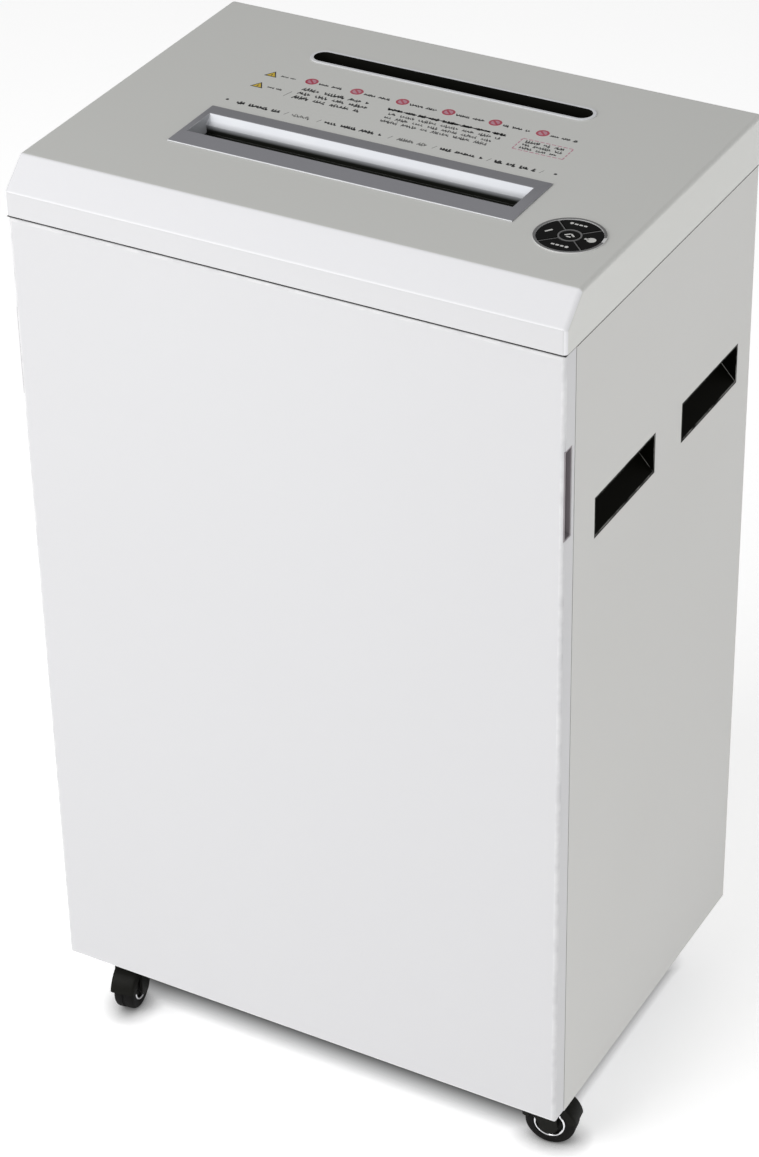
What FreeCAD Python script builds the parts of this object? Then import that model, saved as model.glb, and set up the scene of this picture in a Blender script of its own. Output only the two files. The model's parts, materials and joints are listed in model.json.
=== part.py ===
"""Paper shredder: pull-out bin cabinet on casters under a cutting head with two feeds.

Frame: +X to the user's right, +Y to the back, +Z up, origin on the floor under the centre.
All lengths are in millimetres and all angles in degrees.
"""
import FreeCAD, Part
import math
import os
import re
import Sketcher

SIZES = {
    # outer envelope
    "head_width": 430, "head_depth": 308, "head_bottom": 712, "head_fold": 730, "head_top": 750,
    "chamfer_setback": 22, "head_edge_radius": 3.5, "shell_wall": 3,
    "cabinet_width": 428, "cabinet_front": -153, "cabinet_back": 153,
    "cabinet_bottom": 56, "cabinet_top": 711, "sheet": 2, "fit_gap": 0.2, "air_gap": 0.5,
    "base_level": 60, "flange": 15, "boss_radius": 5, "boss_x": 204, "boss_y": 100,
    # upper deck that carries the cutting block
    "deck_level": 588, "deck_front": -134, "deck_wall_top": 708, "chute_half": 128,
    "paper_chute_front": -74, "paper_chute_back": -8, "media_chute_front": 80, "media_chute_back": 118,
    # drawer front and its edge grips
    "front_thickness": 16, "front_bottom": 57, "front_top": 710.5, "front_edge_radius": 3,
    "pull_bottom": 569, "pull_top": 639, "pull_front": -151.6, "pull_back": -141.4,
    "pull_depth": 18, "pull_wall": 1.2,
    # bin, its carrier and the telescopic runners
    "tray_level": 70, "tray_half": 197, "tray_back": 140, "tray_side_top": 126, "tray_front_top": 220,
    "bin_top": 530, "bin_top_half": 180, "bin_bottom_half": 172, "bin_top_front": -131,
    "bin_top_back": 129, "bin_draft": 7, "bin_wall": 2.5, "bin_rim": 5, "bin_rim_height": 5,
    "runner_back": 146, "runner_front": -134, "runner_sheet": 1.6,
    "outer_runner_low": 88, "outer_runner_high": 128, "outer_runner_inner": 201,
    "middle_runner_low": 92, "middle_runner_high": 124, "middle_runner_inner": 199.6,
    "middle_runner_web": 208.4, "inner_runner_low": 96.5, "inner_runner_high": 119.5,
    "inner_runner_outer": 205.6, "inner_runner_back": 140,
    # carry grips let into the side panels
    "grip_low": 545.5, "grip_high": 578, "grip_depth": 26, "grip_wall": 1.5, "grip_heel": 4,
    "front_grip_start": -105, "front_grip_end": -9, "rear_grip_start": 34.5, "rear_grip_end": 130.5,
    # paper feed
    "bezel_length": 267, "bezel_width": 61, "bezel_y": -40.3, "bezel_rim": 0.8, "bezel_peak": 752.8,
    "feed_length": 252.6, "feed_front": -55.6, "feed_back": -24.8, "lip_run": 6, "lip_drop": 6.6,
    "rim_land": 1, "spigot_wall": 2.2, "spigot_bottom": 740,
    "throat_wall": 2, "throat_neck": 705, "throat_bottom": 678, "throat_slot": 8, "throat_y": -40,
    "sensor_length": 14, "sensor_depth": 6, "sensor_low": 684, "sensor_high": 698,
    # media feed
    "media_length": 222, "media_width": 16, "media_y": 96, "media_wall": 1.5, "media_rim": 1,
    "media_rim_height": 0.7, "media_bottom": 672,
    # control pad
    "pad_x": 176, "pad_y": -71, "pad_radius": 24.5, "pad_body_radius": 23.8, "pad_inner_radius": 22.6,
    "pad_floor": 741.5, "pad_floor_thickness": 1.5, "pad_height": 750.9, "hub_outer": 8.2,
    "hub_inner": 7.1, "hub_height": 750.7, "rib_width": 0.8, "rib_height": 750.2,
    "key_gap": 0.3, "key_low": 745.2, "key_high": 750.6, "stem_radius": 1.5, "stem_hole": 2,
    "stem_low": 740.4, "stem_reach": 15, "board_level": 734, "board_thickness": 1.6,
    "board_half": 24, "dome_radius": 2.6, "dome_top": 739,
    # cutting block
    "block_inner": 130, "plate_thickness": 4, "block_front": -84, "block_back": 128,
    "block_bottom": 590, "block_top": 700, "outer_plate_face": -181, "outer_plate_thickness": 3,
    "front_cutter_y": -58, "rear_cutter_y": -22, "cutter_z": 650, "journal": 6, "bush_outer": 9,
    "bush_proud": 1.5, "running_gap": 0.08, "cutter_radius": 20, "core_radius": 14,
    "cutter_width": 3.8, "cutter_pitch": 8, "cutter_count": 31, "front_first_cutter": -125.9,
    "notch_count": 10, "notch_half_angle": 6.3, "notch_depth": 2.6, "core_end": 127.5, "shaft_end": 137,
    "media_journal": 4, "media_bush_outer": 7, "media_core": 6, "media_cutter_radius": 11,
    "media_cutter_width": 9.6, "media_cutter_pitch": 20, "media_cutter_count": 11,
    "media_front_first": -114.8, "media_rear_first": -104.8,
    "tie_radius": 4, "tie_inset": 8, "tie_low": 608, "tie_high": 692,
    "comb_depth": 14.5, "comb_height": 5, "comb_slot": 4.8, "comb_clearance": 1.2,
    # gears: stub teeth, pressure angle 20
    "coarse_module": 1.5, "fine_module": 1, "sync_teeth": 24, "drive_teeth": 50, "idler_teeth": 15,
    "reduction_teeth": 58, "pinion_teeth": 14, "media_drive_teeth": 76, "media_sync_teeth": 18,
    "addendum": 0.8, "dedendum": 1.05, "pressure_angle": 20, "backlash": 0.24, "gear_width": 8,
    "sync_plane": -144, "drive_plane": -155, "reduction_plane": -166, "media_plane": -177,
    "idler_angle": 23.1, "motor_angle": -54, "media_angle": 17.2, "idler_hub": 8,
    "rear_shaft_end": -184, "front_shaft_end": -145.5,
    # motor
    "motor_radius": 32, "motor_start": -130, "motor_end": -8, "motor_cavity": 23, "motor_cap": 8,
    "rotor_radius": 21, "rotor_start": -116, "rotor_end": -24, "rotor_shaft": 4,
    "rotor_far_end": 12, "pinion_start": -178, "pinion_end": -157, "fan_start": -4, "fan_end": 6,
    "fan_radius": 28, "fan_hub": 9, "fan_blade": 1.6, "fan_blades": 9,
    # electrics
    "mainboard_x": 146, "mainboard_end": 204, "mainboard_front": -70, "mainboard_back": 36,
    "mainboard_level": 596, "standoff": 3, "transformer_height": 24, "relay_height": 13,
    "capacitor_x": 168, "capacitor_y": 54, "capacitor_length": 46, "capacitor_radius": 14,
    "switch_x": 160, "switch_length": 26, "switch_depth": 12, "switch_low": 640, "switch_high": 652,
    "plunger_radius": 2.5, "plunger_front": -136.4,
    "inlet_start": 112, "inlet_end": 184, "inlet_low": 602, "inlet_high": 648, "inlet_front": 128,
    "window_margin": 5, "socket_x": 135, "socket_z": 625, "socket_width": 27, "socket_height": 20,
    "socket_depth": 14, "blade_width": 2, "blade_height": 4, "blade_length": 10, "blade_spread": 7,
    "rocker_x": 167, "rocker_y": 145, "rocker_width": 13, "rocker_half": 8.5, "rocker_crest": 5.2,
    "rocker_valley": 3.6, "rocker_back": 3, "rocker_tilt": -12, "rocker_well": 10,
    "rocker_well_depth": 12, "trunnion": 1.5, "trunnion_reach": 1.5,
    # screws in the back panel
    "screw_x": 204, "screw_low": 84, "screw_pitch": 200, "screw_head": 3.8, "screw_shank": 1.9,
    "screw_sink": 0.4, "screw_length": 11, "screw_hole": 4.1, "screw_cross": 0.9,
    # casters
    "caster_x": 178, "caster_y": 112, "caster_plate": 46, "caster_sheet": 2.5, "race_radius": 15,
    "race_height": 2, "pin_radius": 4, "pin_head": 7, "pin_low": 49.7, "pin_head_top": 51.9,
    "crown_radius": 17, "crown_low": 52.3, "crown_high": 55.2, "trail": 14, "axle_height": 20,
    "axle_radius": 3, "fork_inner": 9.3, "fork_sheet": 2.5, "fork_heel": -13, "fork_toe": 17,
    "boss": 7.5, "wheel_radius": 20, "wheel_half": 8.5, "tread_half": 7, "tread_round": 1.5,
    "dish_outer": 15, "dish_inner": 13.5, "dish_half": 6, "hub_radius": 9, "hub_half": 7.5,
    "front_left_swivel": -80, "front_right_swivel": 8, "rear_left_swivel": 150,
    "rear_right_swivel": 172,
}

WORD = re.compile(r"[a-z][a-z_]+")
PLANES = {"x": "YZ_Plane", "y": "XZ_Plane", "z": "XY_Plane"}
ALONG = {
    "x": FreeCAD.Rotation(FreeCAD.Vector(0, 1, 0), 90),
    "y": FreeCAD.Rotation(FreeCAD.Vector(1, 0, 0), -90),
    "z": FreeCAD.Rotation(),
}
UP = FreeCAD.Vector(0, 0, 1)
SIDES = {"left": -1, "right": 1}

doc = FreeCAD.newDocument("PaperShredder")
sheet = doc.addObject("Spreadsheet::Sheet", "Sizes")
nodes = []
cuts = []


def fill_sheet():
    """Write every driving dimension into the spreadsheet under its alias."""
    for row, (alias, number) in enumerate(SIZES.items(), start=1):
        sheet.set(f"A{row}", alias)
        sheet.set(f"B{row}", str(number))
        sheet.setAlias(f"B{row}", alias)
    doc.recompute()


# ---------------------------------------------------------------- expressions

def cells(text):
    """Put the sheet's name before each alias in an expression."""
    return WORD.sub(lambda word: ("Sizes." if word.group() in SIZES else "") + word.group(), str(text))


def size(text):
    """Number that an expression of aliases has in the sheet."""
    return float(sheet.evalExpression(cells(text)))


def bind(thing, **properties):
    """Bind properties to expressions; a double underscore stands for a dot."""
    for name, text in properties.items():
        thing.setExpression(name.replace("__", "."), cells(text))


def place(thing, x="0", y="0", z="0", turn=None):
    """Bind an object's place, and its turn about the vertical when one is given."""
    if turn is not None:
        thing.Placement = FreeCAD.Placement(FreeCAD.Vector(), FreeCAD.Rotation(UP, size(turn)))
        bind(thing, Placement__Rotation__Angle=turn)
    bind(thing, Placement__Base__x=x, Placement__Base__y=y, Placement__Base__z=z)


def span(side, inner, outer):
    """Low and high X of a stretch between two distances out to one side."""
    if side > 0:
        return inner, outer
    return f"-({outer})", f"-({inner})"


# ---------------------------------------------------------------- sketches and features

def new_body(label):
    """Start a PartDesign body that is one sub-part."""
    body = doc.addObject("PartDesign::Body", label)
    nodes.append(body)
    return body


def new_sketch(body, name, plane, level="0"):
    """Attach a sketch to one of the body's own origin planes, moved along its normal."""
    support = next(item for item in body.Origin.OriginFeatures if item.Role == plane)
    sketch = body.newObject("Sketcher::SketchObject", name)
    sketch.AttachmentSupport = [(support, "")]
    sketch.MapMode = "FlatFace"
    bind(sketch, AttachmentOffset__Base__z=level)
    return sketch


def pin_point(sketch, edge, vertex, x, y):
    """Fix one point of a sketch by its two distances from the sketch's origin."""
    for kind, text in (("DistanceX", x), ("DistanceY", y)):
        index = sketch.addConstraint(Sketcher.Constraint(kind, -1, 1, edge, vertex, size(text)))
        sketch.setExpression(f"Constraints[{index}]", cells(text))


def polygon(*points):
    """Closed outline of straight edges."""
    def draw(sketch):
        corners = [FreeCAD.Vector(size(x), size(y), 0) for x, y in points]
        first = sketch.GeometryCount
        for here, there in zip(corners, corners[1:] + corners[:1]):
            sketch.addGeometry(Part.LineSegment(here, there))
        for step, (x, y) in enumerate(points):
            follower = first + (step + 1) % len(points)
            sketch.addConstraint(Sketcher.Constraint("Coincident", first + step, 2, follower, 1))
            pin_point(sketch, first + step, 1, x, y)
    return draw


def rectangle(x_low, x_high, y_low, y_high):
    """Closed rectangle between two pairs of limits."""
    return polygon((x_low, y_low), (x_high, y_low), (x_high, y_high), (x_low, y_high))


def circle(x, y, radius):
    """Full circle."""
    def draw(sketch):
        centre = FreeCAD.Vector(size(x), size(y), 0)
        edge = sketch.addGeometry(Part.Circle(centre, UP, size(radius)))
        index = sketch.addConstraint(Sketcher.Constraint("Radius", edge, size(radius)))
        sketch.setExpression(f"Constraints[{index}]", cells(radius))
        pin_point(sketch, edge, 3, x, y)
    return draw


def stadium(y, length, width):
    """Slot outline centred on x = 0: two straight sides and two half-round ends."""
    reach = f"({length} - {width})/2"

    def draw(sketch):
        half = size(reach)
        radius = size(width) / 2
        middle = size(y)
        low, high = middle - radius, middle + radius
        quarter = math.pi / 2
        right = Part.Circle(FreeCAD.Vector(half, middle, 0), UP, radius)
        left = Part.Circle(FreeCAD.Vector(-half, middle, 0), UP, radius)
        edges = sketch.addGeometry([
            Part.LineSegment(FreeCAD.Vector(-half, low, 0), FreeCAD.Vector(half, low, 0)),
            Part.ArcOfCircle(right, -quarter, quarter),
            Part.LineSegment(FreeCAD.Vector(half, high, 0), FreeCAD.Vector(-half, high, 0)),
            Part.ArcOfCircle(left, quarter, 3 * quarter),
        ])
        for step, edge in enumerate(edges):
            follower = edges[(step + 1) % len(edges)]
            sketch.addConstraint(Sketcher.Constraint("Tangent", edge, 2, follower, 1))
        pin_point(sketch, edges[1], 3, reach, y)
        pin_point(sketch, edges[0], 1, f"-{reach}", f"{y} - {width}/2")
    return draw


def prism(body, name, axis, outline, start, end, cut=False):
    """Pad an outline, or cut it away, between two levels along an axis of the frame."""
    level = f"-({end})" if axis == "y" else start
    sketch = new_sketch(body, f"{name}_sketch", PLANES[axis], level)
    outline(sketch)
    feature = body.newObject("PartDesign::Pocket" if cut else "PartDesign::Pad", name)
    feature.Profile = sketch
    feature.Reversed = cut
    bind(feature, Length=f"({end}) - ({start})")
    if cut:
        cuts.append(feature)
    return feature


def revolve(body, name, plane, axis, outline):
    """Turn an outline a full circle about one axis of its sketch."""
    sketch = new_sketch(body, f"{name}_sketch", plane)
    outline(sketch)
    feature = body.newObject("PartDesign::Revolution", name)
    feature.Profile = sketch
    feature.ReferenceAxis = (sketch, [axis])
    feature.Angle = 360
    return feature


def loft(body, name, lower, lower_level, upper, upper_level, cut=False):
    """Join two horizontal outlines by a straight loft, added or cut away."""
    base = new_sketch(body, f"{name}_base", "XY_Plane", lower_level)
    lower(base)
    cap = new_sketch(body, f"{name}_cap", "XY_Plane", upper_level)
    upper(cap)
    feature = body.newObject("PartDesign::SubtractiveLoft" if cut else "PartDesign::AdditiveLoft", name)
    feature.Profile = base
    feature.Sections = [cap]
    if cut:
        cuts.append(feature)
    return feature


def repeat_along_x(body, name, feature, pitch, count):
    """Repeat a feature in a row along X and make the row the body's tip."""
    pattern = body.newObject("PartDesign::LinearPattern", name)
    pattern.Originals = [feature]
    pattern.Direction = (feature.Profile[0], ["N_Axis"])
    pattern.Length = size(f"{pitch}*({count} - 1)")
    bind(pattern, Length=f"{pitch}*({count} - 1)", Occurrences=count)
    body.Tip = pattern
    return pattern


def round_edges(body, name, feature, radius, wanted):
    """Fillet the edges of a feature that a test on their middle point and direction picks."""
    doc.recompute()
    picked = []
    for number, edge in enumerate(feature.Shape.Edges, start=1):
        middle = edge.CenterOfMass
        along = edge.tangentAt(edge.FirstParameter)
        if wanted(middle, along):
            picked.append(f"Edge{number}")
    fillet = body.newObject("PartDesign::Fillet", name)
    fillet.Base = (feature, picked)
    bind(fillet, Radius=radius)
    return fillet


# ---------------------------------------------------------------- primitives and booleans

def block(name, x, y, z):
    """Box between three pairs of limits."""
    box = doc.addObject("Part::Box", name)
    bind(box, Length=f"({x[1]}) - ({x[0]})", Width=f"({y[1]}) - ({y[0]})", Height=f"({z[1]}) - ({z[0]})")
    place(box, x[0], y[0], z[0])
    return box


def rod(name, axis, start, end, centre, radius):
    """Cylinder along an axis of the frame, between two levels; centre is in frame order."""
    cylinder = doc.addObject("Part::Cylinder", name)
    cylinder.Placement = FreeCAD.Placement(FreeCAD.Vector(), ALONG[axis])
    bind(cylinder, Radius=radius, Height=f"({end}) - ({start})")
    spots = list(centre)
    spots.insert("xyz".index(axis), start)
    place(cylinder, *spots)
    return cylinder


def fuse(name, pieces):
    """Join touching or overlapping shapes into one solid."""
    joined = doc.addObject("Part::MultiFuse", name)
    joined.Shapes = pieces
    return joined


def cut_away(name, base, tools):
    """Take tools away from a base shape."""
    result = doc.addObject("Part::Cut", name)
    result.Base = base
    result.Tool = tools[0] if len(tools) == 1 else fuse(f"{name}_tools", tools)
    return result


def group(label, pieces):
    """Keep separate solids of one kind together as one sub-part."""
    compound = doc.addObject("Part::Compound", label)
    compound.Links = pieces
    nodes.append(compound)
    return compound


def whole(thing):
    """Record a finished single shape as a sub-part."""
    nodes.append(thing)
    return thing


def bush(name, start, end, y, z, outer, inner):
    """Plain bearing bush along X."""
    sleeve = rod(f"{name}_sleeve", "x", start, end, (y, z), outer)
    bore = rod(f"{name}_bore", "x", f"{start} - sheet", f"{end} + sheet", (y, z), inner)
    return cut_away(name, sleeve, [bore])


# ---------------------------------------------------------------- cabinet

def make_base_plate():
    """Floor of the cabinet with a stiffening lip along its front."""
    body = new_body("base_plate")
    half = "cabinet_width/2 - sheet"
    front = "cabinet_front + front_thickness + air_gap"
    outline = rectangle(f"-({half})", half, front, "cabinet_back - 2*sheet")
    prism(body, "floor", "z", outline, "base_level", "base_level + sheet")
    lip = rectangle("-tray_half", "tray_half", front, f"{front} + sheet")
    prism(body, "front_lip", "z", lip, "base_level", "tray_level - sheet")


def make_side_panel(word, side):
    """Side wall with a back flange, a top flange and two windows for the carry grips."""
    body = new_body(f"{word}_side_panel")
    inner = f"{side}*(cabinet_width/2 - sheet)"
    outer = f"{side}*cabinet_width/2"
    flange = f"{side}*(cabinet_width/2 - sheet - flange)"
    front = "cabinet_front + front_thickness + air_gap"
    behind = "cabinet_back - sheet"
    outline = polygon((outer, front), (outer, "cabinet_back"), (inner, "cabinet_back"), (inner, behind),
                      (flange, behind), (flange, f"{behind} - sheet"), (inner, f"{behind} - sheet"),
                      (inner, front))
    prism(body, "wall", "z", outline, "cabinet_bottom", "cabinet_top")
    shelf = polygon((inner, front), (inner, behind), (flange, behind), (flange, front))
    prism(body, "top_flange", "z", shelf, "cabinet_top - sheet", "cabinet_top")
    low, high = span(side, "cabinet_width/2 - 2*sheet", "cabinet_width/2 + sheet")
    for end in ("front", "rear"):
        window = rectangle(f"{end}_grip_start", f"{end}_grip_end", "grip_low", "grip_high")
        prism(body, f"{end}_window", "x", window, low, high, cut=True)
    for number in range(4):
        height = f"screw_low + {number}*screw_pitch"
        hole = circle(f"{side}*screw_x", height, "screw_shank + fit_gap/2")
        prism(body, f"screw_hole_{number}", "y", hole, f"{behind} - 2*sheet", behind, cut=True)


def make_back_panel():
    """Flat back with the socket window and counterbored screw holes."""
    body = new_body("back_panel")
    half = "cabinet_width/2 - sheet - fit_gap"
    start = "cabinet_back - sheet"
    prism(body, "plate", "y", rectangle(f"-({half})", half, "cabinet_bottom", "cabinet_top"),
          start, "cabinet_back")
    window = rectangle("inlet_start + window_margin", "inlet_end - window_margin",
                       "inlet_low + window_margin", "inlet_high - window_margin")
    prism(body, "socket_window", "y", window, f"{start} - sheet", "cabinet_back + sheet", cut=True)
    for word, side in SIDES.items():
        for number in range(4):
            height = f"screw_low + {number}*screw_pitch"
            prism(body, f"{word}_screw_hole_{number}", "y", circle(f"{side}*screw_x", height, "screw_hole"),
                  f"{start} - sheet", "cabinet_back + sheet", cut=True)


def make_upper_deck():
    """Shelf under the cutting block, folded up at the front as a finger guard."""
    body = new_body("upper_deck")
    half = "cabinet_width/2 - sheet - fit_gap"
    top = "deck_level + sheet"
    fold = polygon(("deck_front", "deck_level"), ("cabinet_back - 2*sheet - fit_gap", "deck_level"),
                   ("cabinet_back - 2*sheet - fit_gap", top), ("deck_front + sheet", top),
                   ("deck_front + sheet", "deck_wall_top"), ("deck_front", "deck_wall_top"))
    prism(body, "fold", "x", fold, f"-({half})", half)
    for end in ("paper", "media"):
        chute = rectangle("-chute_half", "chute_half", f"{end}_chute_front", f"{end}_chute_back")
        prism(body, f"{end}_chute", "z", chute, "deck_level - sheet", f"{top} + sheet", cut=True)
    hole = circle("switch_x", "(switch_low + switch_high)/2", "plunger_radius + air_gap")
    prism(body, "plunger_hole", "y", hole, "deck_front - sheet", "deck_front + 2*sheet", cut=True)


def make_carry_grip(name, side, start, end):
    """Moulded scoop: its floor runs from flush at the lower edge to deepest at the top."""
    outer = f"{side}*cabinet_width/2"
    heel = f"{side}*(cabinet_width/2 - grip_heel)"
    deep = f"{side}*(cabinet_width/2 - grip_depth)"
    shell = doc.addObject("PartDesign::Body", name)
    wedge = polygon((outer, "grip_low"), (outer, "grip_high"), (deep, "grip_high"),
                    (deep, "grip_high - grip_heel"), (heel, "grip_low"))
    prism(shell, f"{name}_wedge", "y", wedge, start, end)
    mouth = f"{side}*(cabinet_width/2 + grip_wall)"
    edge = f"{side}*(cabinet_width/2 - air_gap)"
    floor = f"{side}*(cabinet_width/2 - grip_depth + grip_wall)"
    scoop = polygon((mouth, "grip_low + grip_wall"), (edge, "grip_low + grip_wall"),
                    (floor, "grip_high - grip_heel"), (floor, "grip_high - grip_wall"),
                    (mouth, "grip_high - grip_wall"))
    prism(shell, f"{name}_scoop", "y", scoop, f"{start} + grip_wall", f"{end} - grip_wall", cut=True)
    return shell


def make_carry_grips():
    """Four identical grips, two in each side panel."""
    grips = []
    for word, side in SIDES.items():
        for end in ("front", "rear"):
            name = f"{word}_{end}_grip"
            grips.append(make_carry_grip(name, side, f"{end}_grip_start", f"{end}_grip_end"))
    group("carry_grips", grips)


def make_outer_runners():
    """Fixed channel members of the two drawer runners."""
    rails = []
    for word, side in SIDES.items():
        rails.append(make_channel(f"{word}_outer_rail", side, "outer_runner_inner",
                                  "cabinet_width/2 - sheet", "outer_runner_low", "outer_runner_high",
                                  "runner_front", "runner_back"))
    group("outer_runners", rails)


def make_channel(name, side, inner, outer, low, high, front, back):
    """Channel along Y, open towards the middle of the cabinet."""
    full = block(f"{name}_full", span(side, inner, outer), (front, back), (low, high))
    hollow = block(f"{name}_hollow", span(side, f"{inner} - sheet", f"{outer} - runner_sheet"),
                   (f"{front} - sheet", f"{back} + sheet"),
                   (f"{low} + runner_sheet", f"{high} - runner_sheet"))
    return cut_away(name, full, [hollow])


# ---------------------------------------------------------------- drawer

def make_middle_runners():
    """Floating channel members that travel half as far as the drawer."""
    rails = []
    for word, side in SIDES.items():
        rails.append(make_channel(f"{word}_middle_rail", side, "middle_runner_inner",
                                  "middle_runner_web", "middle_runner_low", "middle_runner_high",
                                  "runner_front", "inner_runner_back"))
    group("middle_runners", rails)


def make_inner_runners():
    """Inner members, riveted to the sides of the bin carrier."""
    rails = []
    for word, side in SIDES.items():
        rails.append(make_channel(f"{word}_inner_rail", side, "tray_half", "inner_runner_outer",
                                  "inner_runner_low", "inner_runner_high",
                                  "runner_front", "inner_runner_back"))
    group("inner_runners", rails)


def make_front_panel():
    """Full-height drawer front with rounded front edges and a pull let into each side edge."""
    body = new_body("front_panel")
    half = "cabinet_width/2"
    slab = prism(body, "slab", "z", rectangle(f"-{half}", half, "cabinet_front",
                                              "cabinet_front + front_thickness"),
                 "front_bottom", "front_top")
    face = size("cabinet_front")
    round_edges(body, "front_edges", slab, "front_edge_radius", lambda middle, along: middle.y < face + 1)
    for word, side in SIDES.items():
        low, high = span(side, "cabinet_width/2 - pull_depth", "cabinet_width/2 + sheet")
        pocket = rectangle("pull_front", "pull_back", "pull_bottom", "pull_top")
        prism(body, f"{word}_pull_pocket", "x", pocket, low, high, cut=True)


def make_drawer_grips():
    """Moulded cups that line the two pulls."""
    cups = []
    for word, side in SIDES.items():
        shell = block(f"{word}_pull_shell", span(side, "cabinet_width/2 - pull_depth", "cabinet_width/2"),
                      ("pull_front", "pull_back"), ("pull_bottom", "pull_top"))
        hollow = block(f"{word}_pull_hollow",
                       span(side, "cabinet_width/2 - pull_depth + pull_wall", "cabinet_width/2 + sheet"),
                       ("pull_front + pull_wall", "pull_back - pull_wall"),
                       ("pull_bottom + pull_wall", "pull_top - pull_wall"))
        cups.append(cut_away(f"{word}_pull_cup", shell, [hollow]))
    group("drawer_grips", cups)


def make_bin_carrier():
    """Folded tray that hangs between the inner runners and carries the bin."""
    body = new_body("bin_carrier")
    inside = "tray_half - sheet"
    trough = polygon(("-tray_half", "tray_level"), ("tray_half", "tray_level"),
                     ("tray_half", "tray_side_top"), (inside, "tray_side_top"),
                     (inside, "tray_level + sheet"), (f"-({inside})", "tray_level + sheet"),
                     (f"-({inside})", "tray_side_top"), ("-tray_half", "tray_side_top"))
    front = "cabinet_front + front_thickness"
    prism(body, "trough", "y", trough, front, "tray_back")
    upstand = rectangle("-tray_half", "tray_half", "tray_level", "tray_front_top")
    prism(body, "front_upstand", "y", upstand, front, f"{front} + sheet")


def bin_outline(inset, draft):
    """Rectangle of the bin, in by a wall and a draft from its outside at the top."""
    side = f"bin_top_half - {inset} - {draft}"
    return rectangle(f"-({side})", side, f"bin_top_front + {inset} + {draft}",
                     f"bin_top_back - {inset} - {draft}")


def make_waste_bin():
    """Tapered open bin with a turned-out rim."""
    body = new_body("waste_bin")
    floor = "tray_level + sheet"
    loft(body, "outside", bin_outline("0", "bin_draft"), floor, bin_outline("0", "0"), "bin_top")
    rim = rectangle("-bin_top_half - bin_rim", "bin_top_half + bin_rim", "bin_top_front - sheet",
                    "bin_top_back + bin_rim")
    prism(body, "rim", "z", rim, "bin_top - bin_rim_height", "bin_top")
    loft(body, "inside", bin_outline("bin_wall", "bin_draft"), f"{floor} + bin_wall",
         bin_outline("bin_wall", "0"), "bin_top", cut=True)


# ---------------------------------------------------------------- head

def make_top_cover():
    """Moulded head shell with its front edge cut back, and openings for both feeds and the pad."""
    body = new_body("top_cover")
    front = "head_depth/2"
    outline = polygon((f"-{front}", "head_bottom"), (f"-{front}", "head_fold"),
                      (f"-{front} + chamfer_setback", "head_top"), (front, "head_top"),
                      (front, "head_bottom"))
    shell = prism(body, "shell", "x", outline, "-head_width/2", "head_width/2")
    low = size("head_bottom")
    round_edges(body, "soft_edges", shell, "head_edge_radius", lambda middle, along: middle.z > low + 1)
    inner = "head_depth/2 - shell_wall"
    slope = "shell_wall*0.4"
    cavity = polygon((f"-({inner})", "head_bottom - sheet"), (f"-({inner})", f"head_fold - {slope}"),
                     (f"-({inner}) + chamfer_setback - {slope}", "head_top - shell_wall"),
                     (inner, "head_top - shell_wall"), (inner, "head_bottom - sheet"))
    prism(body, "cavity", "x", cavity, "-head_width/2 + shell_wall", "head_width/2 - shell_wall", cut=True)
    for word, side in SIDES.items():
        for end, sign in (("front", -1), ("rear", 1)):
            post = circle(f"{side}*boss_x", f"{sign}*boss_y", "boss_radius")
            prism(body, f"{word}_{end}_boss", "z", post, "cabinet_top", "head_top - shell_wall/2")
    half = "feed_length/2 + spigot_wall + fit_gap"
    feed = rectangle(f"-({half})", half, "feed_front - spigot_wall - fit_gap",
                     "feed_back + spigot_wall + fit_gap")
    openings = {
        "feed_opening": feed,
        "media_opening": stadium("media_y", "(media_length + 2*media_wall + 2*fit_gap)",
                                 "(media_width + 2*media_wall + 2*fit_gap)"),
        "pad_opening": circle("pad_x", "pad_y", "pad_body_radius + fit_gap"),
    }
    for name, opening in openings.items():
        prism(body, name, "z", opening, "head_top - 2*shell_wall", "head_top + sheet", cut=True)


def make_feed_bezel():
    """Raised frame round the paper feed, with a sloping lip along its back."""
    body = new_body("feed_bezel")
    half = "bezel_length/2"
    low = "bezel_y - bezel_width/2"
    high = "bezel_y + bezel_width/2"
    prism(body, "flange", "z", rectangle(f"-{half}", half, low, high), "head_top", "head_top + bezel_rim")
    crest = rectangle("-feed_length/2 - rim_land", "feed_length/2 + rim_land", "feed_front - rim_land",
                      "feed_back + rim_land")
    loft(body, "slope", rectangle(f"-{half}", half, low, high), "head_top + bezel_rim",
         crest, "bezel_peak")
    outer = rectangle("-feed_length/2 - spigot_wall", "feed_length/2 + spigot_wall",
                      "feed_front - spigot_wall", "feed_back + spigot_wall")
    prism(body, "spigot", "z", outer, "spigot_bottom", "head_top")
    mouth = polygon(("feed_front", "bezel_peak + sheet"), ("feed_front", "spigot_bottom - sheet"),
                    ("feed_back - lip_run", "spigot_bottom - sheet"),
                    ("feed_back - lip_run", "bezel_peak - lip_drop"),
                    ("feed_back", "bezel_peak"), ("feed_back", "bezel_peak + sheet"))
    prism(body, "mouth", "x", mouth, "-feed_length/2", "feed_length/2", cut=True)


def throat_outline(wall, top, bottom):
    """Funnel section: wide under the bezel, then a narrow straight slot."""
    back = "feed_back - lip_run"
    slot = f"throat_slot/2 + {wall}"
    return polygon((f"feed_front - {wall}", top), (f"feed_front - {wall}", f"spigot_bottom - {wall}"),
                   (f"throat_y - {slot}", f"throat_neck - {wall}"), (f"throat_y - {slot}", bottom),
                   (f"throat_y + {slot}", bottom), (f"throat_y + {slot}", f"throat_neck - {wall}"),
                   (f"{back} + {wall}", f"spigot_bottom - {wall}"), (f"{back} + {wall}", top))


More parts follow.
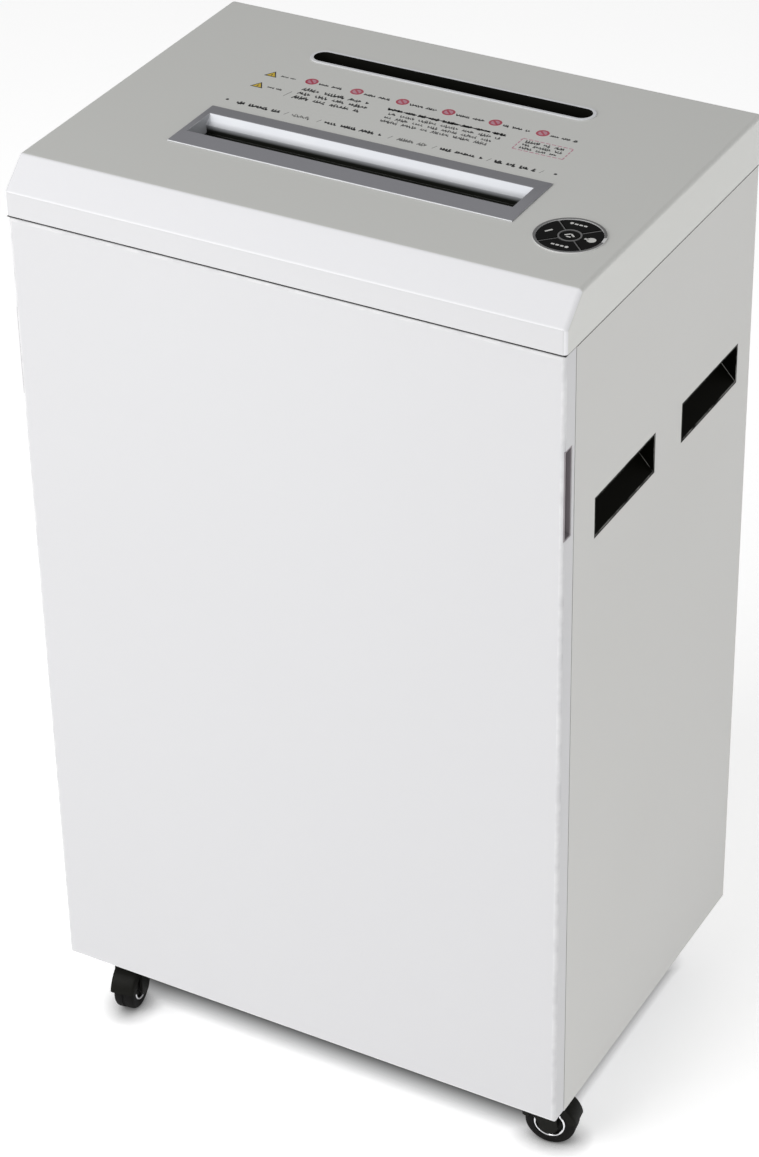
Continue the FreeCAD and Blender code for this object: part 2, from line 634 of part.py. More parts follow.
def make_feed_throat():
    """Funnel that leads the paper from the bezel down to the cutters."""
    body = new_body("feed_throat")
    prism(body, "funnel", "x", throat_outline("throat_wall", "spigot_bottom", "throat_bottom"),
          "-feed_length/2 - throat_wall", "feed_length/2 + throat_wall")
    prism(body, "passage", "x", throat_outline("0", "spigot_bottom + sheet", "throat_bottom - sheet"),
          "-feed_length/2", "feed_length/2", cut=True)


def make_paper_sensor():
    """Light barrier: a lamp and an eye on the two sides of the slot."""
    halves = []
    limits = ("-sensor_length/2", "sensor_length/2")
    face = "throat_slot/2 + throat_wall"
    ends = {
        "lamp": (f"throat_y - {face} - sensor_depth", f"throat_y - {face}"),
        "eye": (f"throat_y + {face}", f"throat_y + {face} + sensor_depth"),
    }
    for word, reach in ends.items():
        halves.append(block(f"sensor_{word}", limits, reach, ("sensor_low", "sensor_high")))
    group("paper_sensor", halves)


def make_media_slot_trim():
    """Chute for discs and cards with a thin rim on the cover."""
    body = new_body("media_slot_trim")
    outer = ("(media_length + 2*media_wall)", "(media_width + 2*media_wall)")
    rim = ("(media_length + 2*media_wall + 2*media_rim)", "(media_width + 2*media_wall + 2*media_rim)")
    prism(body, "chute", "z", stadium("media_y", *outer), "media_bottom", "head_top")
    prism(body, "rim", "z", stadium("media_y", *rim), "head_top", "head_top + media_rim_height")
    prism(body, "passage", "z", stadium("media_y", "media_length", "media_width"),
          "media_bottom - sheet", "head_top + sheet", cut=True)


# ---------------------------------------------------------------- control pad

KEY_ANGLES = {"button_right": 0, "button_back": 90, "button_left": 180, "button_front": 270}


def key_spot(angle):
    """Place of a key's stem."""
    return f"pad_x + stem_reach*cos({angle})", f"pad_y + stem_reach*sin({angle})"


def pad_disc(name, radius, low, high):
    """Upright cylinder on the pad's centre."""
    return rod(name, "z", low, high, ("pad_x", "pad_y"), radius)


def make_pad_ring():
    """Pad housing: floor, outer ring, hub ring and four diagonal ribs in one moulding."""
    floor_top = "pad_floor + pad_floor_thickness"
    barrel = pad_disc("pad_barrel", "pad_body_radius", "pad_floor", "pad_height")
    brim = pad_disc("pad_brim", "pad_radius", "head_top", "pad_height")
    well = pad_disc("pad_well", "pad_inner_radius", floor_top, "pad_height + sheet")
    cup = cut_away("pad_cup", fuse("pad_blank", [barrel, brim]), [well])
    webs = [pad_disc("hub_blank", "hub_outer", floor_top, "hub_height")]
    for number, angle in enumerate((45, 135)):
        rib = doc.addObject("Part::Box", f"pad_rib_{number}")
        bind(rib, Length="2*pad_inner_radius + air_gap", Width="rib_width",
             Height="rib_height - pad_floor - pad_floor_thickness")
        rib.Placement = FreeCAD.Placement(FreeCAD.Vector(), FreeCAD.Rotation(UP, angle))
        reach = "(pad_inner_radius + air_gap/2)"
        place(rib, f"pad_x - {reach}*cos({angle}) + rib_width/2*sin({angle})",
              f"pad_y - {reach}*sin({angle}) - rib_width/2*cos({angle})", floor_top)
        webs.append(rib)
    holes = [pad_disc("hub_bore", "hub_inner", floor_top, "pad_height + sheet"),
             pad_disc("centre_stem_hole", "stem_hole", "pad_floor - sheet", f"{floor_top} + sheet")]
    for label, angle in KEY_ANGLES.items():
        holes.append(rod(f"{label}_hole", "z", "pad_floor - sheet", floor_top, key_spot(angle), "stem_hole"))
    whole(cut_away("pad_ring", fuse("pad_webbed_cup", [cup] + webs), holes))


def make_quadrant_key(label, angle):
    """Key over a quarter of the pad, with a stem down to its switch."""
    plate = pad_disc(f"{label}_plate", "pad_inner_radius - key_gap", "key_low", "key_high")
    hollow = pad_disc(f"{label}_hollow", "hub_outer + key_gap", "key_low - sheet", "key_high + sheet")
    quarter = doc.addObject("Part::Box", f"{label}_quarter")
    bind(quarter, Length="2*pad_radius", Width="2*pad_radius", Height="key_high - key_low")
    quarter.Placement = FreeCAD.Placement(FreeCAD.Vector(), FreeCAD.Rotation(UP, angle - 45))
    apex = "(rib_width/2 + key_gap)*sqrt(2)"
    place(quarter, f"pad_x + {apex}*cos({angle})", f"pad_y + {apex}*sin({angle})", "key_low")
    sector = doc.addObject("Part::MultiCommon", f"{label}_sector")
    sector.Shapes = [cut_away(f"{label}_annulus", plate, [hollow]), quarter]
    stem = rod(f"{label}_stem", "z", "stem_low", "(key_low + key_high)/2", key_spot(angle), "stem_radius")
    whole(fuse(label, [sector, stem]))


def make_keys():
    """Four quadrant keys and the round key in the middle."""
    for label, angle in KEY_ANGLES.items():
        make_quadrant_key(label, angle)
    cap = pad_disc("centre_cap", "hub_inner - key_gap", "key_low", "key_high")
    stem = pad_disc("centre_stem", "stem_radius", "stem_low", "(key_low + key_high)/2")
    whole(fuse("button_centre", [cap, stem]))


def make_control_board():
    """Circuit board under the pad with one switch dome for each key."""
    limits = ("pad_x - board_half", "pad_x + board_half"), ("pad_y - board_half", "pad_y + board_half")
    board_top = "board_level + board_thickness"
    pieces = [block("control_laminate", *limits, ("board_level", board_top))]
    pieces.append(pad_disc("centre_dome", "dome_radius", "board_level", "dome_top"))
    for label, angle in KEY_ANGLES.items():
        pieces.append(rod(f"{label}_dome", "z", "board_level", "dome_top", key_spot(angle), "dome_radius"))
    whole(fuse("control_board", pieces))


# ---------------------------------------------------------------- gear train

IDLER = ("(rear_cutter_y + (drive_teeth + idler_teeth)*coarse_module/2*cos(idler_angle))",
         "(cutter_z + (drive_teeth + idler_teeth)*coarse_module/2*sin(idler_angle))")
MOTOR = (f"({IDLER[0]} + (reduction_teeth + pinion_teeth)*fine_module/2*cos(motor_angle))",
         f"({IDLER[1]} + (reduction_teeth + pinion_teeth)*fine_module/2*sin(motor_angle))")
MEDIA_FRONT = (f"({MOTOR[0]} + (media_drive_teeth + pinion_teeth)*fine_module/2*cos(media_angle))",
               f"({MOTOR[1]} + (media_drive_teeth + pinion_teeth)*fine_module/2*sin(media_angle))")
MEDIA_REAR = (f"({MEDIA_FRONT[0]} + media_sync_teeth*fine_module)", MEDIA_FRONT[1])
FRONT_CUTTER = ("front_cutter_y", "cutter_z")
REAR_CUTTER = ("rear_cutter_y", "cutter_z")


def tooth_half_angle(teeth, module, radius):
    """Half the angle that an involute tooth fills at a radius, less the backlash."""
    pitch_radius = teeth * module / 2
    base_radius = pitch_radius * math.cos(math.radians(size("pressure_angle")))

    def involute(at_radius):
        pressure = math.acos(min(1.0, base_radius / at_radius))
        return math.tan(pressure) - pressure

    at_pitch = math.pi / (2 * teeth) - size("backlash") / (4 * pitch_radius)
    return at_pitch + involute(pitch_radius) - involute(max(radius, base_radius))


def gear_solid(teeth, module, start, end, phase):
    """Spur gear about X, with one tooth centred at the phase angle from +Y towards +Z."""
    pitch_radius = teeth * module / 2
    root = pitch_radius - size("dedendum") * module
    tip = pitch_radius + size("addendum") * module
    outline = []
    for number in range(teeth):
        centre = math.radians(phase + 360 / teeth * number)
        flank = [(radius, tooth_half_angle(teeth, module, radius)) for radius in (root, pitch_radius, tip)]
        for radius, half in flank:
            outline.append((radius, centre - half))
        for radius, half in reversed(flank):
            outline.append((radius, centre + half))
    corners = [FreeCAD.Vector(start, radius * math.cos(angle), radius * math.sin(angle))
               for radius, angle in outline]
    face = Part.Face(Part.makePolygon(corners + corners[:1]))
    return face.extrude(FreeCAD.Vector(end - start, 0, 0))


def bored(solid, radius):
    """Gear with a bore along X through its middle."""
    box = solid.BoundBox
    start = FreeCAD.Vector(box.XMin - 1, 0, 0)
    return solid.cut(Part.makeCylinder(radius, box.XLength + 2, start, FreeCAD.Vector(1, 0, 0)))


def shaped(label, shape, spot):
    """Sub-part from a computed shape, placed on its axis in the cutting block."""
    feature = doc.addObject("Part::Feature", label)
    feature.Shape = shape.removeSplitter()
    feature.Placement = FreeCAD.Placement(FreeCAD.Vector(), FreeCAD.Rotation())
    place(feature, "0", *spot)
    nodes.append(feature)


def meshed_phase(phase, teeth, mate_teeth, spot, mate_spot):
    """Phase of a gear so that its teeth stand in the gaps of the gear that it meets."""
    run = size(f"{mate_spot[0]} - {spot[0]}")
    rise = size(f"{mate_spot[1]} - {spot[1]}")
    direction = math.degrees(math.atan2(rise, run))
    pitch = 360 / teeth
    share = ((direction - phase) / pitch) % 1
    return direction + 180 + (share + 0.5) * 360 / mate_teeth


def make_gears():
    """Every gear of the train, each in mesh with its neighbour at rest."""
    coarse = size("coarse_module")
    fine = size("fine_module")
    width = size("gear_width")
    sync, drive, idler = (int(size(name)) for name in ("sync_teeth", "drive_teeth", "idler_teeth"))
    reduction, pinion = int(size("reduction_teeth")), int(size("pinion_teeth"))
    media_drive, media_sync = int(size("media_drive_teeth")), int(size("media_sync_teeth"))
    sync_x, drive_x = size("sync_plane"), size("drive_plane")
    reduction_x, media_x = size("reduction_plane"), size("media_plane")
    journal = size("journal")
    media_journal = size("media_journal")

    rear = gear_solid(sync, coarse, sync_x, sync_x + width, 0)
    shaped("rear_sync_gear", bored(rear, journal), REAR_CUTTER)
    phase = meshed_phase(0, sync, sync, REAR_CUTTER, FRONT_CUTTER)
    front = gear_solid(sync, coarse, sync_x, sync_x + width, phase)
    shaped("front_sync_gear", bored(front, journal), FRONT_CUTTER)
    shaped("rear_drive_gear", bored(gear_solid(drive, coarse, drive_x, drive_x + width, 0), journal),
           REAR_CUTTER)

    phase = meshed_phase(0, drive, idler, REAR_CUTTER, IDLER)
    small = gear_solid(idler, coarse, drive_x, drive_x + width, phase)
    large = gear_solid(reduction, fine, reduction_x, reduction_x + width, 0)
    hub = Part.makeCylinder(size("idler_hub"), drive_x - reduction_x, FreeCAD.Vector(reduction_x, 0, 0),
                            FreeCAD.Vector(1, 0, 0))
    cluster = small.fuse(hub).fuse(large)
    shaped("intermediate_gear", bored(cluster, size("tie_radius + running_gap")), IDLER)

    phase = meshed_phase(0, reduction, pinion, IDLER, MOTOR)
    rotor = gear_solid(pinion, fine, size("pinion_start"), size("pinion_end"), phase)
    for radius, start, end in (("rotor_shaft", "pinion_end", "rotor_far_end"),
                               ("rotor_radius", "rotor_start", "rotor_end")):
        spindle = Part.makeCylinder(size(radius), size(f"{end} - {start}"),
                                    FreeCAD.Vector(size(start), 0, 0), FreeCAD.Vector(1, 0, 0))
        rotor = rotor.fuse(spindle)
    shaped("motor_rotor", rotor, MOTOR)

    phase = meshed_phase(phase, pinion, media_drive, MOTOR, MEDIA_FRONT)
    wheel = gear_solid(media_drive, fine, media_x, media_x + width, phase)
    tie = gear_solid(media_sync, fine, sync_x, sync_x + width, 0)
    sleeve = Part.makeCylinder(size("idler_hub"), sync_x - media_x, FreeCAD.Vector(media_x, 0, 0),
                               FreeCAD.Vector(1, 0, 0))
    shaped("media_front_gear", bored(wheel.fuse(sleeve).fuse(tie), media_journal), MEDIA_FRONT)
    phase = meshed_phase(0, media_sync, media_sync, MEDIA_FRONT, MEDIA_REAR)
    partner = gear_solid(media_sync, fine, sync_x, sync_x + width, phase)
    shaped("media_rear_gear", bored(partner, media_journal), MEDIA_REAR)


# ---------------------------------------------------------------- cutters

def cutter_outline():
    """Cutting disc: a circle with evenly spaced V notches that cut the strips across."""
    points = []
    count = SIZES["notch_count"]
    for number in range(count):
        middle = 360 / count * number
        for radius, turn in (("cutter_radius", "-notch_half_angle"),
                             ("(cutter_radius - notch_depth)", "0"),
                             ("cutter_radius", "notch_half_angle"), ("cutter_radius", "180/notch_count")):
            angle = f"({middle} + {turn})"
            points.append((f"{radius}*cos({angle})", f"{radius}*sin({angle})"))
    return polygon(*points)


def make_cutter(label, spot, first, shaft_start):
    """Cutter roll: core, notched discs at an even pitch, and a journal at each end."""
    body = new_body(label)
    place(body, "0", *spot)
    prism(body, f"{label}_shaft", "x", circle("0", "0", "journal"), shaft_start, "shaft_end")
    prism(body, f"{label}_core", "x", circle("0", "0", "core_radius"), "-core_end", "core_end")
    disc = prism(body, f"{label}_disc", "x", cutter_outline(), first, f"{first} + cutter_width")
    repeat_along_x(body, f"{label}_discs", disc, "cutter_pitch", "cutter_count")


def make_media_cutter(label, spot, first, shaft_start):
    """Narrow roll with broad plain discs for cards and discs."""
    body = new_body(label)
    place(body, "0", *spot)
    prism(body, f"{label}_shaft", "x", circle("0", "0", "media_journal"), shaft_start, "shaft_end")
    prism(body, f"{label}_core", "x", circle("0", "0", "media_core"), "-core_end", "core_end")
    disc = prism(body, f"{label}_disc", "x", circle("0", "0", "media_cutter_radius"), first,
                 f"{first} + media_cutter_width")
    repeat_along_x(body, f"{label}_discs", disc, "media_cutter_pitch", "media_cutter_count")


def make_cutters():
    """The two pairs of rolls."""
    make_cutter("front_cutter", FRONT_CUTTER, "front_first_cutter", "front_shaft_end")
    make_cutter("rear_cutter", REAR_CUTTER, "(front_first_cutter + cutter_pitch/2)", "rear_shaft_end")
    make_media_cutter("media_front_cutter", MEDIA_FRONT, "media_front_first", "rear_shaft_end")
    make_media_cutter("media_rear_cutter", MEDIA_REAR, "media_rear_first", "front_shaft_end")


def make_comb(name, sign, spot, first):
    """Stripper comb whose fingers reach in between the discs of one roll."""
    body = doc.addObject("PartDesign::Body", name)
    inner = f"{spot} + {sign}*(core_radius + comb_clearance)"
    outer = f"{spot} + {sign}*(core_radius + comb_clearance + comb_depth)"
    low, high = (inner, outer) if sign > 0 else (outer, inner)
    strip = rectangle("-core_end", "core_end", low, high)
    bottom = "cutter_z - comb_height/2"
    top = "cutter_z + comb_height/2"
    prism(body, f"{name}_strip", "z", strip, bottom, top)
    mouth = f"{spot} + {sign}*(cutter_radius + comb_clearance)"
    near = f"{spot} + {sign}*core_radius"
    slot_low, slot_high = (near, mouth) if sign > 0 else (mouth, near)
    ease = "(comb_slot - cutter_width)/2"
    slot = rectangle(slot_low, slot_high, f"{bottom} - sheet", f"{top} + sheet")
    notch = prism(body, f"{name}_slot", "x", slot, f"{first} - {ease}",
                  f"{first} + cutter_width + {ease}", cut=True)
    repeat_along_x(body, f"{name}_slots", notch, "cutter_pitch", "cutter_count")
    return body


def make_paper_combs():
    """One comb outside each paper cutter."""
    group("paper_combs", [
        make_comb("front_comb", -1, "front_cutter_y", "front_first_cutter"),
        make_comb("rear_comb", 1, "rear_cutter_y", "(front_first_cutter + cutter_pitch/2)"),
    ])


# ---------------------------------------------------------------- cutting block

TIE_SPOTS = [(y, z) for y in ("block_front + tie_inset", "block_back - tie_inset")
             for z in ("tie_low", "tie_high")]


def make_block_plate(label, start, end, holes):
    """End plate of the cutting block with a hole for every shaft and rod."""
    body = new_body(label)
    plate = rectangle("block_front", "block_back", "block_bottom", "block_top")
    prism(body, f"{label}_plate", "x", plate, start, end)
    for number, (spot, radius) in enumerate(holes):
        prism(body, f"{label}_hole_{number}", "x", circle(*spot, radius),
              f"{start} - sheet", f"{end} + sheet", cut=True)


def make_block_plates():
    """Two inner plates that carry the bushes and one outer plate over the gears."""
    rods = [(spot, "tie_radius") for spot in TIE_SPOTS]
    paper = [(FRONT_CUTTER, "bush_outer"), (REAR_CUTTER, "bush_outer")]
    media = [(MEDIA_FRONT, "media_bush_outer"), (MEDIA_REAR, "media_bush_outer")]
    left = [(IDLER, "tie_radius"), (MOTOR, "(rotor_shaft + running_gap)")]
    make_block_plate("left_block_plate", "-block_inner - plate_thickness", "-block_inner",
                     rods + paper + media + left)
    make_block_plate("right_block_plate", "block_inner", "block_inner + plate_thickness",
                     rods + paper + media)
    outer = [(REAR_CUTTER, "(journal + running_gap)"), (MEDIA_FRONT, "(media_journal + running_gap)"),
             (IDLER, "tie_radius")]
    make_block_plate("gear_cover_plate", "outer_plate_face - outer_plate_thickness",
                     "outer_plate_face", rods + outer)


def make_shaft_bearings():
    """Bushes for both ends of the four rolls."""
    bushes = []
    spots = {"front": (FRONT_CUTTER, "bush_outer", "journal"),
             "rear": (REAR_CUTTER, "bush_outer", "journal"),
             "media_front": (MEDIA_FRONT, "media_bush_outer", "media_journal"),
             "media_rear": (MEDIA_REAR, "media_bush_outer", "media_journal")}
    ends = {"left": ("-block_inner - plate_thickness - bush_proud", "-block_inner + bush_proud"),
            "right": ("block_inner - bush_proud", "block_inner + plate_thickness + bush_proud")}
    for word, (spot, outer, inner) in spots.items():
        for side, (start, end) in ends.items():
            bushes.append(bush(f"{word}_{side}_bush", start, end, *spot, outer, f"{inner} + running_gap"))
    group("shaft_bearings", bushes)


def make_tie_rods():
    """Four rods that hold the three plates together."""
    rods = []
    for number, spot in enumerate(TIE_SPOTS):
        rods.append(rod(f"tie_rod_{number}", "x", "outer_plate_face - outer_plate_thickness",
                        "block_inner + plate_thickness", spot, "tie_radius"))
    group("tie_rods", rods)


def make_idler_axle():
    """Fixed axle of the intermediate gear, between the left plate and the outer plate."""
    whole(rod("idler_axle", "x", "outer_plate_face - outer_plate_thickness", "-block_inner",
              IDLER, "tie_radius"))


def make_motor_housing():
    """Round motor case, hollow round the rotor, with a bearing in each end."""
    body = new_body("motor_housing")
    place(body, "0", *MOTOR)
    bore = "rotor_shaft + running_gap"
    half = polygon(("motor_start", bore), ("motor_start", "motor_radius"), ("motor_end", "motor_radius"),
                   ("motor_end", bore), ("motor_end - motor_cap", bore),
                   ("motor_end - motor_cap", "motor_cavity"), ("motor_start + motor_cap", "motor_cavity"),
                   ("motor_start + motor_cap", bore))
    revolve(body, "case", "XZ_Plane", "H_Axis", half)


def make_cooling_fan():
    """Radial fan on the free end of the motor shaft."""
    body = new_body("cooling_fan")
    place(body, "0", *MOTOR)
    prism(body, "fan_hub_pad", "x", circle("0", "0", "fan_hub"), "fan_start", "fan_end")
    prism(body, "fan_back", "x", circle("0", "0", "fan_radius"), "fan_start", "fan_start + fan_blade")
    blade = rectangle("fan_hub - fan_blade", "fan_radius", "-fan_blade/2", "fan_blade/2")
    vane = prism(body, "fan_vane", "x", blade, "fan_start", "fan_end")
    ring = body.newObject("PartDesign::PolarPattern", "fan_vanes")
    ring.Originals = [vane]
    ring.Axis = (vane.Profile[0], ["N_Axis"])
    ring.Angle = 360
    bind(ring, Occurrences="fan_blades")
    body.Tip = ring
    prism(body, "fan_bore", "x", circle("0", "0", "rotor_shaft"), "fan_start - sheet", "fan_end + sheet",
          cut=True)


# ---------------------------------------------------------------- electrics

def make_main_board():
    """Power board on standoffs with its transformer and relay."""
    top = "mainboard_level + board_thickness"
    limits = ("mainboard_x", "mainboard_end"), ("mainboard_front", "mainboard_back")
    pieces = [block("laminate", *limits, ("mainboard_level", top))]
    middle = "(mainboard_x + mainboard_end)/2"
    pieces.append(block("transformer", (f"{middle} - capacitor_radius", f"{middle} + capacitor_radius"),
                        ("mainboard_front + flange", "mainboard_front + 3*flange"),
                        (top, f"{top} + transformer_height")))
    pieces.append(block("relay", (f"{middle} - flange/2", f"{middle} + flange/2"),
                        ("mainboard_back - 2*flange", "mainboard_back - flange"),
                        (top, f"{top} + relay_height")))
    for x in ("mainboard_x + 2*standoff", "mainboard_end - 2*standoff"):
        for y in ("mainboard_front + 2*standoff", "mainboard_back - 2*standoff"):
            pieces.append(rod(f"standoff_{len(pieces)}", "z", "deck_level + sheet", "mainboard_level",
                              (x, y), "standoff"))
    whole(fuse("main_board", pieces))


def make_capacitor():
    """Motor run capacitor lying on the deck."""
    whole(rod("capacitor", "y", "capacitor_y", "capacitor_y + capacitor_length",
              ("capacitor_x", "deck_level + sheet + capacitor_radius"), "capacitor_radius"))


def make_drawer_switch():
    """Safety switch that stops the cutters when the drawer is open."""
    case = block("switch_case", ("switch_x - switch_length/2", "switch_x + switch_length/2"),
                 ("deck_front + sheet", "deck_front + sheet + switch_depth"),
                 ("switch_low", "switch_high"))
    plunger = rod("switch_plunger", "y", "plunger_front", "deck_front + 2*sheet",
                  ("switch_x", "(switch_low + switch_high)/2"), "plunger_radius")
    whole(fuse("drawer_switch", [case, plunger]))


def make_power_inlet():
    """Appliance inlet with three blades, and the well of the power switch, behind the back panel."""
    face = "cabinet_back - sheet"
    case = block("inlet_case", ("inlet_start", "inlet_end"), ("inlet_front", face),
                 ("inlet_low", "inlet_high"))
    socket = block("inlet_socket", ("socket_x - socket_width/2", "socket_x + socket_width/2"),
                   (f"{face} - socket_depth", f"{face} + sheet"),
                   ("socket_z - socket_height/2", "socket_z + socket_height/2"))
    half = "(rocker_width/2 + air_gap)"
    well = block("rocker_well_cut", (f"rocker_x - {half}", f"rocker_x + {half}"),
                 (f"{face} - rocker_well_depth", f"{face} + sheet"),
                 ("socket_z - rocker_well", "socket_z + rocker_well"))
    reach = "(rocker_width/2 + trunnion_reach + 2*air_gap)"
    bearing = rod("trunnion_bore", "x", f"rocker_x - {reach}", f"rocker_x + {reach}",
                  ("rocker_y", "socket_z"), "trunnion + running_gap")
    shell = cut_away("inlet_shell", case, [socket, well, bearing])
    pieces = [shell]
    spots = (("-blade_spread", "0"), ("0", "blade_spread/2"), ("blade_spread", "0"))
    for number, (across, up) in enumerate(spots):
        x = f"socket_x + {across}"
        z = f"socket_z + {up}"
        pieces.append(block(f"inlet_blade_{number}", (f"{x} - blade_width/2", f"{x} + blade_width/2"),
                            (f"{face} - socket_depth - sheet", f"{face} - socket_depth + blade_length"),
                            (f"{z} - blade_height/2", f"{z} + blade_height/2")))
    whole(fuse("power_inlet", pieces))


def make_power_rocker():
    """Rocker of the power switch, at rest with its upper end out."""
    body = new_body("power_rocker")
    body.Placement = FreeCAD.Placement(FreeCAD.Vector(), FreeCAD.Rotation(FreeCAD.Vector(1, 0, 0), 0))
    bind(body, Placement__Rotation__Angle="rocker_tilt")
    place(body, "rocker_x", "rocker_y", "socket_z")
    face = polygon(("-rocker_back", "-rocker_half"), ("rocker_crest", "-rocker_half"),
                   ("rocker_valley", "0"), ("rocker_crest", "rocker_half"), ("-rocker_back", "rocker_half"))
    prism(body, "paddle", "x", face, "-rocker_width/2", "rocker_width/2")
    reach = "(rocker_width/2 + trunnion_reach)"
    prism(body, "trunnions", "x", circle("0", "0", "trunnion"), f"-{reach}", reach)


def make_panel_screws():
    """Cross-head screws that hold the back panel, sunk just below its face."""
    screws = []
    top = "cabinet_back - screw_sink"
    under = "cabinet_back - sheet"
    for word, side in SIDES.items():
        for number in range(4):
            spot = (f"{side}*screw_x", f"screw_low + {number}*screw_pitch")
            name = f"{word}_screw_{number}"
            head = rod(f"{name}_head", "y", under, top, spot, "screw_head")
            shank = rod(f"{name}_shank", "y", f"{top} - screw_length", under, spot, "screw_shank")
            slots = []
            for wide, tall in (("screw_head*0.6", "screw_cross/2"), ("screw_cross/2", "screw_head*0.6")):
                across = (f"{spot[0]} - {wide}", f"{spot[0]} + {wide}")
                upward = (f"{spot[1]} - {tall}", f"{spot[1]} + {tall}")
                slots.append(block(f"{name}_slot_{len(slots)}", across,
                                   (f"{top} - screw_cross", f"{top} + sheet"), upward))
            screws.append(cut_away(name, fuse(f"{name}_blank", [head, shank]), slots))
    group("panel_screws", screws)


# ---------------------------------------------------------------- casters

CORNERS = {"front_left": (-1, -1), "front_right": (1, -1), "rear_left": (-1, 1), "rear_right": (1, 1)}


def make_caster_plates():
    """Four top plates, each with its ball race and king pin."""
    plates = []
    for word, (across, along) in CORNERS.items():
        x = f"{across}*caster_x"
        y = f"{along}*caster_y"
        under = "base_level - caster_sheet"
        plate = block(f"{word}_top_plate", (f"{x} - caster_plate/2", f"{x} + caster_plate/2"),
                      (f"{y} - caster_plate/2", f"{y} + caster_plate/2"), (under, "base_level"))
        race = rod(f"{word}_race", "z", f"{under} - race_height", under, (x, y), "race_radius")
        pin = rod(f"{word}_pin", "z", "pin_low", under, (x, y), "pin_radius")
        head = rod(f"{word}_pin_head", "z", "pin_low", "pin_head_top", (x, y), "pin_head")
        plates.append(fuse(f"{word}_plate", [plate, race, pin, head]))
    group("caster_plates", plates)


def make_fork(word, across, along):
    """Swivel fork: crown disc, two legs that trail behind the pin, and the axle."""
    body = new_body(f"{word}_fork")
    place(body, f"{across}*caster_x", f"{along}*caster_y", "0", turn=f"{word}_swivel")
    outer = "(fork_inner + fork_sheet)"
    prism(body, f"{word}_crown", "z", circle("0", "0", "crown_radius"), "crown_low", "crown_high")
    leg = polygon(("fork_heel", "crown_high"), ("fork_toe", "crown_high"),
                  ("trail + boss", "axle_height"), ("trail - boss", "axle_height"))
    prism(body, f"{word}_legs", "y", leg, f"-{outer}", outer)
    prism(body, f"{word}_boss", "y", circle("trail", "axle_height", "boss"), f"-{outer}", outer)
    gap = rectangle("fork_heel - crown_radius", "trail + wheel_radius", "0", "crown_low")
    prism(body, f"{word}_gap", "y", gap, "-fork_inner", "fork_inner", cut=True)
    prism(body, f"{word}_pin_hole", "z", circle("0", "0", "pin_radius + running_gap"), "pin_low",
          "crown_high + sheet", cut=True)
    prism(body, f"{word}_axle", "y", circle("trail", "axle_height", "axle_radius"), f"-{outer}", outer)


def make_wheel(word, across, along):
    """Caster wheel with a rounded tread and a dished face round its hub."""
    body = new_body(f"{word}_wheel")
    place(body, f"{across}*caster_x + trail*cos({word}_swivel)",
          f"{along}*caster_y + trail*sin({word}_swivel)", "axle_height", turn=f"{word}_swivel")
    bore = "axle_radius + running_gap"
    side = [(bore, "hub_half"), ("hub_radius - tread_round", "hub_half"), ("hub_radius", "dish_half"),
            ("dish_inner", "dish_half"), ("dish_outer", "wheel_half"),
            ("wheel_radius - tread_round", "wheel_half"), ("wheel_radius", "tread_half")]
    mirrored = [(radius, f"-{reach}") for radius, reach in reversed(side)]
    revolve(body, f"{word}_tyre", "XY_Plane", "V_Axis", polygon(*side, *mirrored))


# ---------------------------------------------------------------- whole machine

def build():
    """Make every sub-part."""
    fill_sheet()
    make_base_plate()
    for word, side in SIDES.items():
        make_side_panel(word, side)
    make_back_panel()
    make_upper_deck()
    make_carry_grips()
    make_outer_runners()
    make_middle_runners()
    make_inner_runners()
    make_front_panel()
    make_drawer_grips()
    make_bin_carrier()
    make_waste_bin()
    make_top_cover()
    make_feed_bezel()
    make_feed_throat()
    make_paper_sensor()
    make_media_slot_trim()
    make_pad_ring()
    make_keys()
    make_control_board()
    make_gears()
    make_cutters()
    make_paper_combs()
    make_block_plates()
    make_shaft_bearings()
    make_tie_rods()
    make_idler_axle()
    make_motor_housing()
    make_cooling_fan()
    make_main_board()
    make_capacitor()
    make_drawer_switch()
    make_power_inlet()
    make_power_rocker()
    make_panel_screws()
    make_caster_plates()
    for word, (across, along) in CORNERS.items():
        make_fork(word, across, along)
        make_wheel(word, across, along)
    doc.recompute()


def check():
    """Stop if an object failed, a shape is missing or broken, or a cut removed nothing."""
    problems = [item.Name for item in doc.Objects if {"Invalid", "Error"} & set(item.State)]
    for item in nodes:
        if item.Shape.isNull() or not item.Shape.isValid():
            problems.append(f"{item.Label} shape")
    for feature in cuts:
        if feature.Shape.Volume >= feature.BaseFeature.Shape.Volume:
            problems.append(f"{feature.Name} cuts nothing")
    if problems:
        raise RuntimeError("; ".join(problems))


def export():
    """Write one STEP file for each sub-part."""
    os.makedirs("parts", exist_ok=True)
    for item in nodes:
        item.Shape.exportStep(f"parts/{item.Label}.step")
    print(len(nodes), "sub-parts written")


build()
check()
export()
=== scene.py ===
"""Looks of a paper shredder on casters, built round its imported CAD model.

Every length is in metres, in the model's own frame: +X to the user's right, +Y to the back, +Z up.
"""
import json
import logging
import math
import random
from collections.abc import Callable, Iterable, Sequence
from dataclasses import dataclass, field, replace
from enum import Enum

import bmesh
import bpy
from mathutils import Matrix, Vector

